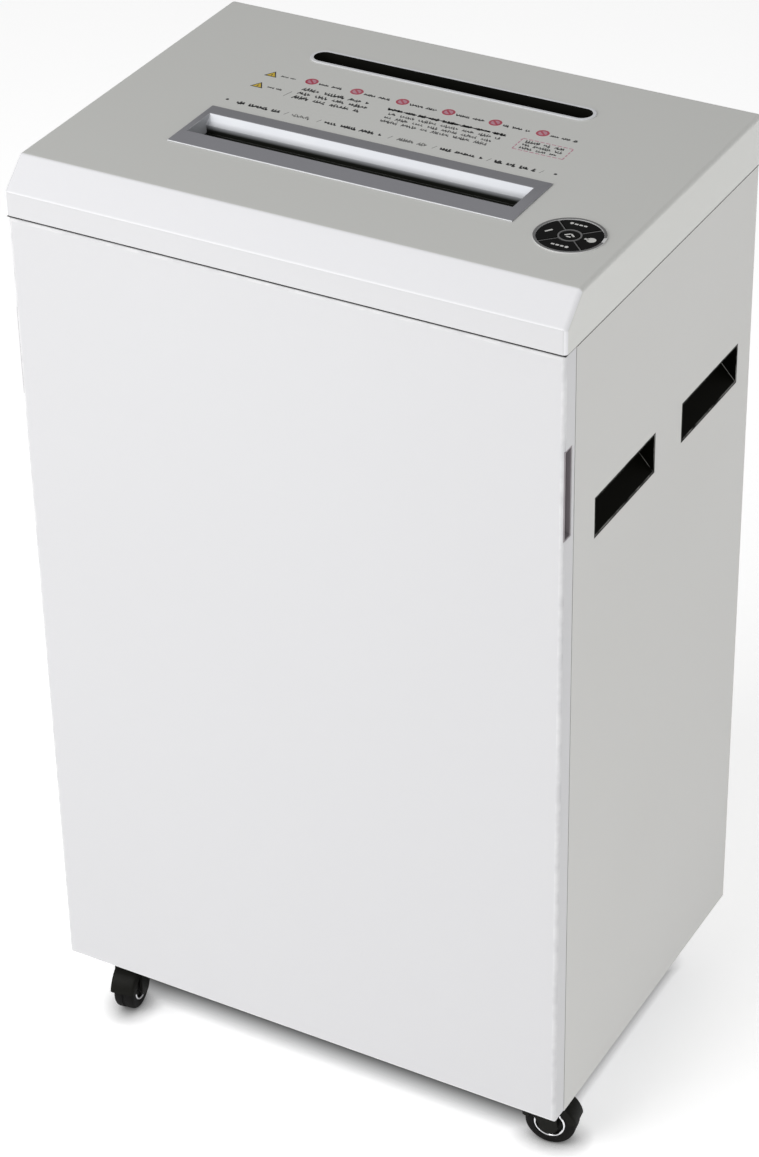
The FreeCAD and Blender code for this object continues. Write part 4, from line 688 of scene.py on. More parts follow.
class Clay:
    """One piece in the making: a bmesh and the operators that shape it."""

    def __init__(self) -> None:
        """Start empty."""
        self.bm = bmesh.new()

    def box(self, low: Sequence[float], high: Sequence[float]) -> list[bmesh.types.BMVert]:
        """Add a box between two corners and return its points.

        Args:
            low: Lower corner.
            high: Upper corner.

        Returns:
            The box's points.
        """
        size = Vector(high) - Vector(low)
        made = bmesh.ops.create_cube(self.bm, size=1.0)["verts"]
        bmesh.ops.scale(self.bm, vec=size, verts=made)
        bmesh.ops.translate(self.bm, vec=(Vector(high) + Vector(low)) / 2, verts=made)
        return made

    def drum(self, centre: Sequence[float], radius: float, low: float, high: float, sides: int = 48,
             taper: float = 1.0) -> list[bmesh.types.BMVert]:
        """Add an upright cylinder, or a cone's frustum, between two heights.

        Args:
            centre: Where its axis stands.
            radius: Radius at the bottom.
            low: Height of the bottom.
            high: Height of the top.
            sides: Number of faces round it.
            taper: Top radius over bottom radius.

        Returns:
            The drum's points.
        """
        made = bmesh.ops.create_cone(self.bm, cap_ends=True, segments=sides, radius1=radius,
                                     radius2=radius * taper, depth=high - low)["verts"]
        bmesh.ops.translate(self.bm, vec=(centre[0], centre[1], (low + high) / 2), verts=made)
        return made

    def outline(self, points: Iterable[Sequence[float]], push: Sequence[float]) -> list[bmesh.types.BMVert]:
        """Fill a flat outline and extrude it.

        Args:
            points: Corners in order, in the frame.
            push: How far the outline is extruded.

        Returns:
            All points of the prism.
        """
        corners = [self.bm.verts.new(point) for point in points]
        face = self.bm.faces.new(corners)
        made = bmesh.ops.extrude_face_region(self.bm, geom=[face])["geom"]
        moved = [item for item in made if isinstance(item, bmesh.types.BMVert)]
        bmesh.ops.translate(self.bm, vec=push, verts=moved)
        return corners + moved

    def turn(self, profile: Sequence[Point], axis: Vector, centre: Vector, steps: int = 64,
             closed: bool = True) -> None:
        """Spin a profile of (radius, reach along the axis) a full circle.

        Args:
            profile: Corners of the section.
            axis: Unit vector of the turning axis.
            centre: Point on the axis from which the reach counts.
            steps: Number of faces round the circle.
            closed: Whether the last corner joins the first.
        """
        across = axis.orthogonal().normalized()
        corners = [self.bm.verts.new(centre + axis * reach + across * radius) for radius, reach in profile]
        pairs = list(zip(corners, corners[1:]))
        if closed:
            pairs.append((corners[-1], corners[0]))
        edges = [self.bm.edges.new(pair) for pair in pairs]
        bmesh.ops.spin(self.bm, geom=corners + edges, cent=centre, axis=axis, angle=math.tau,
                       steps=steps, use_merge=True, use_duplicate=False)
        bmesh.ops.remove_doubles(self.bm, verts=self.bm.verts, dist=1e-7)

    def soften(self, offset: float, segments: int = 3,
               wanted: Callable[[bmesh.types.BMEdge], bool] | None = None) -> None:
        """Round edges.

        Args:
            offset: Width of the rounding.
            segments: Faces across it.
            wanted: Test that picks the edges; all sharp ones without it.
        """
        self.bm.normal_update()
        mark = self.bm.faces.layers.float.get(EDGE_MARK) or self.bm.faces.layers.float.new(EDGE_MARK)
        limit = math.radians(28)
        picked = [edge for edge in self.bm.edges if edge.is_manifold and edge.calc_face_angle(0.0) > limit
                  and (wanted is None or wanted(edge))]
        made = bmesh.ops.bevel(self.bm, geom=picked, offset=offset, segments=segments, profile=0.5,
                               affect="EDGES", material=-1, clamp_overlap=True)
        for face in made["faces"]:
            face[mark] = 1.0

    def paint(self, number: int, wanted: Callable[[bmesh.types.BMFace], bool]) -> None:
        """Give the faces that a test picks a material number.

        Args:
            number: The material number.
            wanted: Test that picks the faces.
        """
        self.bm.normal_update()
        for face in self.bm.faces:
            if wanted(face):
                face.material_index = number

    def turn_about(self, verts: list[bmesh.types.BMVert], centre: Sequence[float], degrees: float) -> None:
        """Turn points about a vertical line."""
        bmesh.ops.rotate(self.bm, verts=verts, cent=centre,
                         matrix=Matrix.Rotation(math.radians(degrees), 3, "Z"))

    def fire(self, name: str, flip: bool = True) -> bpy.types.Object:
        """Turn the bmesh into a smooth-shaded object with crisp corners.

        Args:
            name: The object's name.
            flip: Whether the normals are worked out again.

        Returns:
            The new object, at the origin.
        """
        if flip:
            bmesh.ops.recalc_face_normals(self.bm, faces=self.bm.faces)
        mesh = bpy.data.meshes.new(name)
        self.bm.to_mesh(mesh)
        self.bm.free()
        mesh.polygons.foreach_set("use_smooth", [True] * len(mesh.polygons))
        mesh.set_sharp_from_angle(angle=CREASE)
        piece = bpy.data.objects.new(name, mesh)
        bpy.context.scene.collection.objects.link(piece)
        keep_flat(piece)
        return piece


def keep_flat(piece: bpy.types.Object) -> None:
    """Weigh the shading by face size, so that large faces stay flat beside rounded edges."""
    weighted = piece.modifiers.new("flat faces", "WEIGHTED_NORMAL")
    weighted.mode, weighted.weight, weighted.keep_sharp = "FACE_AREA", 100, True


def from_cad(node: str) -> Clay:
    """Merged copy of a CAD node's mesh, with its flat faces joined.

    Args:
        node: The CAD node.

    Returns:
        The copy.
    """
    clay = Clay()
    clay.bm.from_mesh(frame["nodes"][node].data)
    bmesh.ops.remove_doubles(clay.bm, verts=clay.bm.verts, dist=2e-6)
    bmesh.ops.dissolve_limit(clay.bm, angle_limit=math.radians(0.6), verts=clay.bm.verts,
                             edges=clay.bm.edges)
    return clay


def carve(piece: bpy.types.Object, cutter: bpy.types.Object) -> None:
    """Cut one object's shape out of another and remove the cutter.

    Args:
        piece: The object that is cut.
        cutter: The shape that is taken out of it.
    """
    piece.modifiers.clear()
    modifier = piece.modifiers.new("carve", "BOOLEAN")
    modifier.operation = "DIFFERENCE"
    modifier.solver = "EXACT"
    modifier.object = cutter
    evaluated = piece.evaluated_get(bpy.context.evaluated_depsgraph_get())
    mesh = bpy.data.meshes.new_from_object(evaluated)
    piece.modifiers.clear()
    old = piece.data
    piece.data = mesh
    mesh.name = old.name
    bpy.data.meshes.remove(old)
    bpy.data.objects.remove(cutter)
    mesh.set_sharp_from_angle(angle=CREASE)
    keep_flat(piece)


@dataclass
class Assembly:
    """Base of the sub-assemblies: keeps the paintbox and fits finished pieces to the frame."""

    paint: Paintbox

    def fit(self, piece: bpy.types.Object, looks: Sequence[Look], node: str, slot: str | None = None,
            replaces: bool = True) -> bpy.types.Object:
        """Dress a piece, make it ride with a CAD node's body and log its face count.

        Args:
            piece: The finished piece.
            looks: Its finishes, by material number.
            node: The CAD node that it replaces or goes with.
            slot: Not used.
            replaces: Whether the CAD node is hidden.

        Returns:
            The piece.
        """
        self.paint.dress(piece, *looks)
        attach(piece, frame["nodes"][node]["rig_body"])
        if replaces:
            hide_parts(node)
        log.info("%s: %d faces", piece.name, len(piece.data.polygons))
        return piece

    def refine(self, node: str, look: Look, offset: float = 0.4 * MM, segments: int = 2) -> None:
        """Replace a CAD node by a copy with softened edges.

        Args:
            node: The CAD node.
            look: Its finish.
            offset: Width of the rounding.
            segments: Faces across it.
        """
        clay = from_cad(node)
        clay.soften(offset, segments)
        self.fit(clay.fire(f"{node}_soft", flip=False), [look], node)

    def keep(self, node: str, look: Look) -> None:
        """Show a CAD node as it is, in a finish.

        Args:
            node: The CAD node.
            look: Its finish.
        """
        piece = frame["nodes"][node]
        self.paint.dress(piece, look)
        log.info("%s: kept, %d faces", node, len(piece.data.polygons))


# ------------------------------------------------------------------ cabinet and electrics


@dataclass
class Cabinet(Assembly):
    """Steel cabinet: folded sheets, deck, carry grips, runners' outer members and screws."""

    sheet_edge: float = 0.3 * MM
    cup_edge: float = 1.0 * MM
    seam_shade_proud: float = 0.15 * MM
    seam_shade_width: float = 1.2 * MM
    seam_shade_height: float = 0.45 * MM

    def build(self) -> None:
        """Make the cabinet's pieces."""
        for node, look in (("left_side_panel", Look.SIDE), ("right_side_panel", Look.SIDE),
                           ("back_panel", Look.SIDE), ("base_plate", Look.ZINC),
                           ("upper_deck", Look.ZINC), ("outer_runners", Look.RUNNER),
                           ("middle_runners", Look.RUNNER), ("caster_plates", Look.RUNNER)):
            self.refine(node, look, self.sheet_edge)
        self.refine("carry_grips", Look.GRIP, self.cup_edge, 3)
        self.keep("panel_screws", Look.SCREW)
        self.seam_shade()

    def seam_shade(self) -> None:
        """Thin dark strip in the seam under the head, painted shade of the gap, in bars that only touch."""
        low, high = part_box("right_side_panel")
        front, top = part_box("front_panel")[0].y, high.z
        half, back = high.x + self.seam_shade_proud, high.y
        clay = Clay()
        lift = top - self.seam_shade_height
        for side in (-1.0, 1.0):
            ends = sorted((side * (half - self.seam_shade_width), side * half))
            clay.box((ends[0], front + self.seam_shade_width, lift), (ends[1], back, top))
            clay.box((ends[0], low.y + self.seam_shade_proud, lift - self.seam_shade_height), (ends[1], back, lift))
        clay.box((-half, front - self.seam_shade_proud, lift), (half, front + self.seam_shade_width, top))
        self.fit(clay.fire("head_seam_shade"), [Look.SEAL], "top_cover", slot="throat_dark", replaces=False)


@dataclass
class Electrics(Assembly):
    """Boards, capacitor, door switch, sensor, mains inlet and power rocker."""

    board_top: float = 2.0 * MM
    edge: float = 0.4 * MM

    def build(self) -> None:
        """Make the electrical pieces."""
        self.board("main_board")
        self.board("control_board")
        self.refine("capacitor", Look.CAN, self.edge)
        for node in ("drawer_switch", "paper_sensor", "power_inlet", "power_rocker"):
            self.refine(node, Look.DARK, self.edge)

    def board(self, node: str) -> None:
        """Board with a green laminate and dark components.

        Args:
            node: The CAD node of the board.
        """
        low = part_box(node)[0]
        clay = from_cad(node)
        clay.soften(0.2 * MM, 1)
        clay.paint(1, lambda face: face.calc_center_median().z > low.z + self.board_top)
        self.fit(clay.fire(f"{node}_parts", flip=False), [Look.BOARD, Look.DARK], node)


# ------------------------------------------------------------------ head


@dataclass(frozen=True)
class Row:
    """A row of filler strokes: its ends, middle, height and weight, in millimetres."""

    left: float
    right: float
    y: float
    height: float
    weight: float


class Stencil:
    """Flat marks in one ink, laid on a level surface, by places and sizes in millimetres."""

    film = 0.05 * MM
    sunk = 0.1 * MM

    def __init__(self, level: float) -> None:
        """Start with no marks.

        Args:
            level: Height of the surface that carries the marks.
        """
        self.clay = Clay()
        self.level = level

    def bar(self, x: float, y: float, width: float, height: float, turn: float = 0.0,
            lift: float = 0.0) -> None:
        """Add a bar by its centre, in millimetres and degrees.

        Args:
            x: The centre's place across.
            y: The centre's place to the back.
            width: Size across, before the turn.
            height: Size to the back, before the turn.
            turn: Degrees about the upright.
            lift: How far it stands over the film.
        """
        low = ((x - width / 2) * MM, (y - height / 2) * MM, self.level - self.sunk)
        high = ((x + width / 2) * MM, (y + height / 2) * MM, self.level + self.film + lift * MM)
        made = self.clay.box(low, high)
        if turn:
            self.clay.turn_about(made, (x * MM, y * MM, 0.0), turn)

    def disc(self, x: float, y: float, radius: float, sides: int = 20) -> None:
        """Add a disc by its centre, in millimetres."""
        self.clay.drum((x * MM, y * MM), radius * MM, self.level - self.sunk, self.level + self.film, sides)

    def ring(self, x: float, y: float, radius: float, width: float, sides: int = 32) -> None:
        """Add a ring by its centre, outer radius and width, in millimetres.

        Args:
            x: The centre's place across.
            y: The centre's place to the back.
            radius: Outer radius.
            width: Width of the line.
            sides: Number of faces round it.
        """
        inner = (radius - width) * MM
        outer = radius * MM
        section = [(inner, -self.sunk), (outer, -self.sunk), (outer, self.film), (inner, self.film)]
        self.clay.turn(section, UP, Vector((x * MM, y * MM, self.level)), sides)

    def triangle(self, x: float, y: float, side: float, lift: float = 0.0) -> None:
        """Add a filled triangle, point to the back, by its centre, its side and its lift over the film.

        Args:
            x: The centre's place across.
            y: The centre's place to the back.
            side: Length of a side.
            lift: How far it stands over the film.
        """
        reach = side / math.sqrt(3)
        corners = [(x + reach * math.cos(math.radians(a)), y + reach * math.sin(math.radians(a)))
                   for a in (90, 210, 330)]
        base = self.level - self.sunk
        rise = self.sunk + self.film + lift * MM
        self.clay.outline([(a * MM, b * MM, base) for a, b in corners], (0, 0, rise))

    def strokes(self, rng: random.Random, row: Row) -> None:
        """Add a row of uneven strokes in groups, a filler that spells nothing.

        Args:
            rng: Source of the unevenness.
            row: Place and size of the row.
        """
        height, weight = row.height, row.weight
        x, run = row.left, rng.randint(3, 7)
        while x < row.right - height / 2:
            tall = height * rng.uniform(0.45, 1.0)
            self.bar(x, row.y, weight, tall, rng.uniform(-25.0, 25.0))
            self.bar(x + 0.2 * height, row.y - height * rng.uniform(0.0, 0.3), weight * 1.2, 0.5 * tall)
            x += height * rng.uniform(0.36, 0.5)
            run -= 1
            if run == 0:
                x, run = x + 0.7 * height, rng.randint(3, 7)

    def dashes(self, left: float, right: float, y: float, dash: float, gap: float, height: float) -> None:
        """Add an even row of dashes between two places, in millimetres.

        Args:
            left: Where the row starts.
            right: Where it ends.
            y: The row's middle.
            dash: Length of a dash.
            gap: Space between two.
            height: Thickness of a dash.
        """
        x = left
        while x + dash <= right + 0.01:
            self.bar(x + dash / 2, y, dash, height)
            x += dash + gap

    def column(self, low: float, high: float, x: float, dash: float, gap: float, width: float) -> None:
        """Add an even column of dashes between two places, in millimetres.

        Args:
            low: Where the column starts.
            high: Where it ends.
            x: The column's middle.
            dash: Length of a dash.
            gap: Space between two.
            width: Thickness of a dash.
        """
        y = low
        while y + dash <= high + 0.01:
            self.bar(x, y + dash / 2, width, dash)
            y += dash + gap


@dataclass
class Prints(Assembly):
    """Plain pictograms and bars on the head's top: no words, only their places and weights."""

    triangle_x: float = -122.2
    triangle_rows: Point = (53.5, 33.8)
    triangle_sides: Point = (10.0, 7.0)
    triangle_note: Row = Row(-114.5, -102.0, 1.0, 2.6, 0.8)
    layer: float = 0.02
    symbol_row: float = 56.5
    symbol_pitch: float = 36.7
    symbol_start: float = -91.0
    symbol_count: int = 6
    symbol_radius: float = 4.8
    symbol_line: float = 1.6
    symbol_field: float = 3.3
    symbol_note: Row = Row(7.0, 29.5, -1.2, 3.6, 0.75)
    left_block: tuple[Row, ...] = tuple(Row(-90.0, -34.0, y, 5.6, 1.0) for y in (43.5, 36.5, 29.5))
    heavy: Row = Row(-20.5, 74.0, 42.0, 4.2, 1.5)
    heavy_dash: float = 4.6
    middle_block: tuple[Row, ...] = tuple(Row(-17.0, 72.0, y, 4.6, 0.65) for y in (35.6, 29.6, 23.8))
    frame_low: Point = (84.0, 26.5)
    frame_high: Point = (122.4, 43.5)
    frame_line: float = 0.9
    frame_block: tuple[Row, ...] = tuple(Row(88.0, 119.0, y, 4.4, 0.65) for y in (40.0, 35.0, 30.0))
    label_y: float = 3.6
    label_height: float = 5.0
    labels: tuple[tuple[float, float, bool, float], ...] = (
        (-121.0, -85.0, True, 1.3), (-76.5, -59.0, False, 0.7), (-50.0, -3.0, True, 1.2),
        (8.0, 32.5, False, 0.9), (41.0, 74.5, True, 1.3), (83.0, 115.5, True, 1.4))
    label_gaps: tuple[float, ...] = (-81.5, -55.0, 1.5, 36.0, 78.0, 118.0)
    label_ends: Point = (-130.0, 128.0)

    def build(self) -> None:
        """Draw every mark, then make one piece of each ink."""
        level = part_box("top_cover")[1].z
        rng = random.Random(SEED)
        looks = {"black": Look.BLACK_INK, "grey": Look.GREY_INK, "red": Look.RED_INK,
                 "pink": Look.PINK_INK, "yellow": Look.YELLOW_INK}
        inks = {word: Stencil(level) for word in looks}
        self.triangles(inks, rng)
        self.symbols(inks, rng)
        self.blocks(inks, rng)
        self.label_row(inks, rng)
        for word, look in looks.items():
            self.fit(inks[word].clay.fire(f"{word}_print"), [look], "top_cover", replaces=False)

    def triangles(self, inks: dict[str, Stencil], rng: random.Random) -> None:
        """Draw the two edged triangles and the short rows beside them.

        Args:
            inks: One stencil for each ink.
            rng: Source of the unevenness.
        """
        outer, inner = self.triangle_sides
        for y in self.triangle_rows:
            inks["black"].triangle(self.triangle_x, y, outer)
            inks["yellow"].triangle(self.triangle_x, y, inner, self.layer)
            inks["black"].bar(self.triangle_x, y - 0.2, 0.8, 2.6, lift=2 * self.layer)
            inks["grey"].strokes(rng, replace(self.triangle_note, y=y + self.triangle_note.y))

    def symbols(self, inks: dict[str, Stencil], rng: random.Random) -> None:
        """Draw the struck-out rings and the short rows beside them.

        Args:
            inks: One stencil for each ink.
            rng: Source of the unevenness.
        """
        y, note = self.symbol_row, self.symbol_note
        for number in range(self.symbol_count):
            x = self.symbol_start + self.symbol_pitch * number
            inks["red"].ring(x, y, self.symbol_radius, self.symbol_line)
            inks["red"].bar(x, y, 6.8, 1.5, -45.0, 0.03)
            inks["pink"].disc(x, y, self.symbol_field)
            inks["black"].strokes(rng, replace(note, left=x + note.left, right=x + note.right, y=y + note.y))

    def blocks(self, inks: dict[str, Stencil], rng: random.Random) -> None:
        """Draw the three blocks of filler rows, the last in a dashed frame.

        Args:
            inks: One stencil for each ink.
            rng: Source of the unevenness.
        """
        black, pink, heavy = inks["black"], inks["pink"], self.heavy
        for row in self.left_block:
            black.strokes(rng, row)
        inks["grey"].bar(-96.5, 31.5, 0.5, 9.0, -14.0)
        black.strokes(rng, heavy)
        black.dashes(heavy.left, heavy.right, heavy.y, self.heavy_dash, 1.2, 1.3)
        for row in self.middle_block:
            black.strokes(rng, row)
        low, high = self.frame_low, self.frame_high
        for y in (low[1], high[1]):
            pink.dashes(low[0], high[0], y, 3.2, 1.2, self.frame_line)
        for x in (low[0], high[0]):
            pink.column(low[1], high[1], x, 3.0, 1.4, self.frame_line)
        for row in self.frame_block:
            black.strokes(rng, row)

    def label_row(self, inks: dict[str, Stencil], rng: random.Random) -> None:
        """Draw the long row behind the feed: groups of strokes, slanted bars and an end dot each side.

        Args:
            inks: One stencil for each ink.
            rng: Source of the unevenness.
        """
        for left, right, dark, weight in self.labels:
            row = Row(left, right, self.label_y, self.label_height, weight)
            inks["black" if dark else "grey"].strokes(rng, row)
        for x in self.label_gaps:
            inks["grey"].bar(x, self.label_y, 0.4, 5.0, -20.0)
        for x in self.label_ends:
            inks["black"].disc(x, self.label_y + 1.0, 1.2)


@dataclass
class Head(Assembly):
    """Moulded head: cover, raised bezel, throat, media slot and the marks printed on its top."""

    edge: float = 0.35 * MM
    brow_depth: float = 40.0 * MM
    lip_depth: float = 1.0 * MM
    inner_reach: float = 7.0 * MM
    rim_land: float = 1.2 * MM

    def build(self) -> None:
        """Make the head's pieces."""
        self.cover()
        self.bezel()
        # The throat liner is painted pale at the top as a highlight and near black lower down as painted
        # shade.
        self.refine("feed_throat", Look.THROAT, 0.2 * MM)
        self.media_trim()
        Prints(self.paint).build()

    def cover(self) -> None:
        """Cover whose cut-back edge is painted a lighter white as painted light, with its upright front in
        the front panel's white.
        """
        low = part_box("top_cover")[0]
        clay = from_cad("top_cover")
        clay.soften(self.edge, 2)
        # The cut-back edge gets a lighter white as painted light; the upright front band gets the front
        # panel's white.
        clay.paint(1, lambda face: (face.normal.y < -FACING
                                    and face.calc_center_median().y < low.y + self.brow_depth))
        clay.paint(2, lambda face: (face.normal.y < -SQUARE
                                    and face.calc_center_median().y < low.y + self.lip_depth))
        self.fit(clay.fire("top_cover_soft", flip=False), [Look.HEAD, Look.BROW, Look.FRONT], "top_cover")

    def bezel(self) -> None:
        """Raised frame round the paper feed: the lip along the back of the opening carries a painted
        highlight that sinks into painted shade, the front rim a painted highlight and the left end wall
        inside a lighter grey as painted light.
        """
        low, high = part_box("feed_bezel")
        clay = from_cad("feed_bezel")
        clay.soften(0.5 * MM, 3)

        def inside(face: bmesh.types.BMFace) -> bool:
            """Whether a face belongs to the lip along the back of the opening, painted as a highlight that
            sinks into shade.

            Args:
                face: The face.

            Returns:
                Whether it does.
            """
            spot = face.calc_center_median()
            within = low.x + self.inner_reach < spot.x < high.x - self.inner_reach
            lip = face.normal.y < -FACING and spot.y > (low.y + high.y) / 2 and within
            return lip and spot.z < high.z - 0.2 * MM

        def end(face: bmesh.types.BMFace) -> bool:
            """Whether a face belongs to the left end wall of the opening, which is painted lighter as painted
            light.
            """
            spot = face.calc_center_median()
            return face.normal.x > 0.7 and low.x + 2 * MM < spot.x < 0.0

        def rim(face: bmesh.types.BMFace) -> bool:
            """Whether a face belongs to the front edge that catches the light, painted as a highlight."""
            spot = face.calc_center_median()
            return face.normal.y < -FACING and spot.y < low.y + 1.2 * MM and spot.z > high.z - 2.8 * MM

        # The lip gets the pale throat colour as a painted highlight over painted shade, the rim a painted
        # highlight and the left end wall a lighter grey as painted light.
        clay.paint(1, inside)
        clay.paint(2, rim)
        clay.paint(3, end)
        looks = [Look.BEZEL, Look.THROAT, Look.BRIGHT, Look.END]
        self.fit(clay.fire("feed_bezel_ring", flip=False), looks, "feed_bezel")

    def media_trim(self) -> None:
        """Slot liner for discs and cards: a rim painted pale as a highlight over a well painted near black as
        the slot's shade.
        """
        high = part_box("media_slot_trim")[1]
        clay = from_cad("media_slot_trim")
        clay.soften(0.15 * MM, 2)
        # The walls below the rim are painted near black as painted shade inside the slot; the rim is a
        # painted highlight.
        clay.paint(1, lambda face: face.calc_center_median().z < high.z - self.rim_land)
        self.fit(clay.fire("media_slot_rim", flip=False), [Look.BRIGHT, Look.DARK], "media_slot_trim")


class Mark:
    """One stroke of an icon, placed from the middle of its key, in millimetres."""

    def draw(self, stencil: Stencil, x: float, y: float) -> None:
        """Lay the mark on a stencil whose key has its middle at x, y."""
        raise NotImplementedError


@dataclass(frozen=True)
class Bar(Mark):
    """A bar by its middle, size and turn."""

    x: float
    y: float
    width: float
    height: float
    turn: float = 0.0

    def draw(self, stencil: Stencil, x: float, y: float) -> None:
        """Lay the bar on a stencil whose key has its middle at x, y."""
        stencil.bar(x + self.x, y + self.y, self.width, self.height, self.turn)


@dataclass(frozen=True)
class Disc(Mark):
    """A disc by its middle and radius."""

    x: float
    y: float
    radius: float

    def draw(self, stencil: Stencil, x: float, y: float) -> None:
        """Lay the disc on a stencil whose key has its middle at x, y."""
        stencil.disc(x + self.x, y + self.y, self.radius)


@dataclass(frozen=True)
class Dashes(Mark):
    """A row of dashes by its ends, middle, dash, gap and height."""

    left: float
    right: float
    y: float
    dash: float
    gap: float
    height: float

    def draw(self, stencil: Stencil, x: float, y: float) -> None:
        """Lay the dashes on a stencil whose key has its middle at x, y."""
        stencil.dashes(x + self.left, x + self.right, y + self.y, self.dash, self.gap, self.height)


@dataclass
class ControlPad(Assembly):
    """Round pad: bright ring with its web, four quadrant keys and a centre key, all with pale icons."""

    key_edge: float = 0.6 * MM
    web_outer: float = 22.5 * MM
    icons: dict[str, tuple[Mark, ...]] = field(default_factory=lambda: {
        "button_centre": (Bar(-1.7, 0.6, 4.6, 1.2, 40.0), Bar(1.7, 0.6, 4.6, 1.2, -40.0),
                          Bar(0.0, -2.2, 3.2, 1.2)),
        "button_front": (Dashes(-6.0, 4.0, -1.2, 2.4, 0.9, 1.6), Disc(5.2, -1.2, 1.3)),
        "button_back": (Disc(-6.2, 1.6, 1.3), Dashes(-4.0, 6.0, 1.4, 2.4, 0.9, 1.6)),
        "button_left": (Bar(-1.0, 0.0, 5.6, 1.5, 55.0),),
        "button_right": (Disc(1.2, 0.0, 3.2), Bar(-2.2, 0.0, 3.2, 1.8))})

    def build(self) -> None:
        """Make the pad's pieces."""
        low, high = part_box("pad_ring")
        centre = (low + high) / 2
        clay = from_cad("pad_ring")
        clay.soften(0.12 * MM, 2)

        def web(face: bmesh.types.BMFace) -> bool:
            """Whether a face belongs to the web inside the bright ring."""
            spot = face.calc_center_median() - centre
            return math.hypot(spot.x, spot.y) < self.web_outer

        clay.paint(1, web)
        self.fit(clay.fire("pad_ring_web", flip=False), [Look.TRIM, Look.WEB], "pad_ring")
        for node in self.icons:
            self.refine(node, Look.KEY, self.key_edge, 4)
            self.icon(node)

    def icon(self, node: str) -> None:
        """Pale icon on top of a key.

        Args:
            node: The CAD node of the key.
        """
        low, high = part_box(node)
        stencil = Stencil(high.z)
        for mark in self.icons[node]:
            mark.draw(stencil, (low.x + high.x) / 2 / MM, (low.y + high.y) / 2 / MM)
        self.fit(stencil.clay.fire(f"{node}_icon"), [Look.WHITE_INK], node, slot="trim_light", replaces=False)


# ------------------------------------------------------------------ cutting block


@dataclass
class CuttingBlock(Assembly):
    """Plates, rolls, gears, motor and fan between the head and the deck."""

    plate_edge: float = 0.4 * MM

    def build(self) -> None:
        """Dress the block's pieces and soften its plates."""
        for node in ("left_block_plate", "right_block_plate", "gear_cover_plate"):
            self.refine(node, Look.PLATE, self.plate_edge)
        self.refine("motor_housing", Look.MOTOR, self.plate_edge)
        self.refine("tie_rods", Look.PLATE, 0.3 * MM)
        self.keep("idler_axle", Look.PLATE)
        self.keep("shaft_bearings", Look.BRONZE)
        self.keep("paper_combs", Look.COMB)
        self.keep("cooling_fan", Look.COMB)
        for node in ("front_cutter", "rear_cutter", "media_front_cutter", "media_rear_cutter"):
            self.keep(node, Look.CUTTER)
        for node in ("front_sync_gear", "rear_sync_gear", "rear_drive_gear", "intermediate_gear",
                     "media_front_gear", "media_rear_gear", "motor_rotor"):
            self.keep(node, Look.GEAR)


# ------------------------------------------------------------------ drawer


@dataclass
class Drawer(Assembly):
    """Front slab with its two pulls, the carrier on runners, and the bin."""

    front_edge: float = 3.0 * MM
    back_edge: float = 0.6 * MM
    cup_edge: float = 0.8 * MM
    seam: float = 0.15 * MM
    pull_depth: float = 18.0 * MM
    bin_edge: float = 1.5 * MM

    def build(self) -> None:
        """Make the drawer's pieces."""
        self.front()
        self.refine("drawer_grips", Look.PULL, 0.4 * MM, 3)
        self.refine("bin_carrier", Look.ZINC, 0.3 * MM)
        self.refine("inner_runners", Look.RUNNER, 0.3 * MM)
        self.refine("waste_bin", Look.BIN, self.bin_edge, 3)

    def front(self) -> None:
        """Slab with a rounded face and a pocket for each pull."""
        low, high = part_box("front_panel")
        slab = Clay()
        slab.box(low, high)
        slab.soften(self.front_edge, 6, lambda edge: all(v.co.y < low.y + 0.1 * MM for v in edge.verts))
        slab.soften(self.back_edge, 2)
        piece = slab.fire("drawer_front")
        grip_low, grip_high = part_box("drawer_grips")
        pockets = Clay()
        gap = Vector((0.0, self.seam, self.seam))
        for side in (-1.0, 1.0):
            ends = sorted((side * (grip_high.x + 10 * MM), side * (grip_high.x - self.pull_depth)))
            pockets.box(Vector((ends[0], grip_low.y, grip_low.z)) - gap,
                        Vector((ends[1], grip_high.y, grip_high.z)) + gap)
        carve(piece, pockets.fire("pull_pockets"))
        self.fit(piece, [Look.FRONT], "front_panel")


# ------------------------------------------------------------------ casters


class Corner(Enum):
    """The four casters."""

    FRONT_LEFT = "front_left"
    FRONT_RIGHT = "front_right"
    REAR_LEFT = "rear_left"
    REAR_RIGHT = "rear_right"


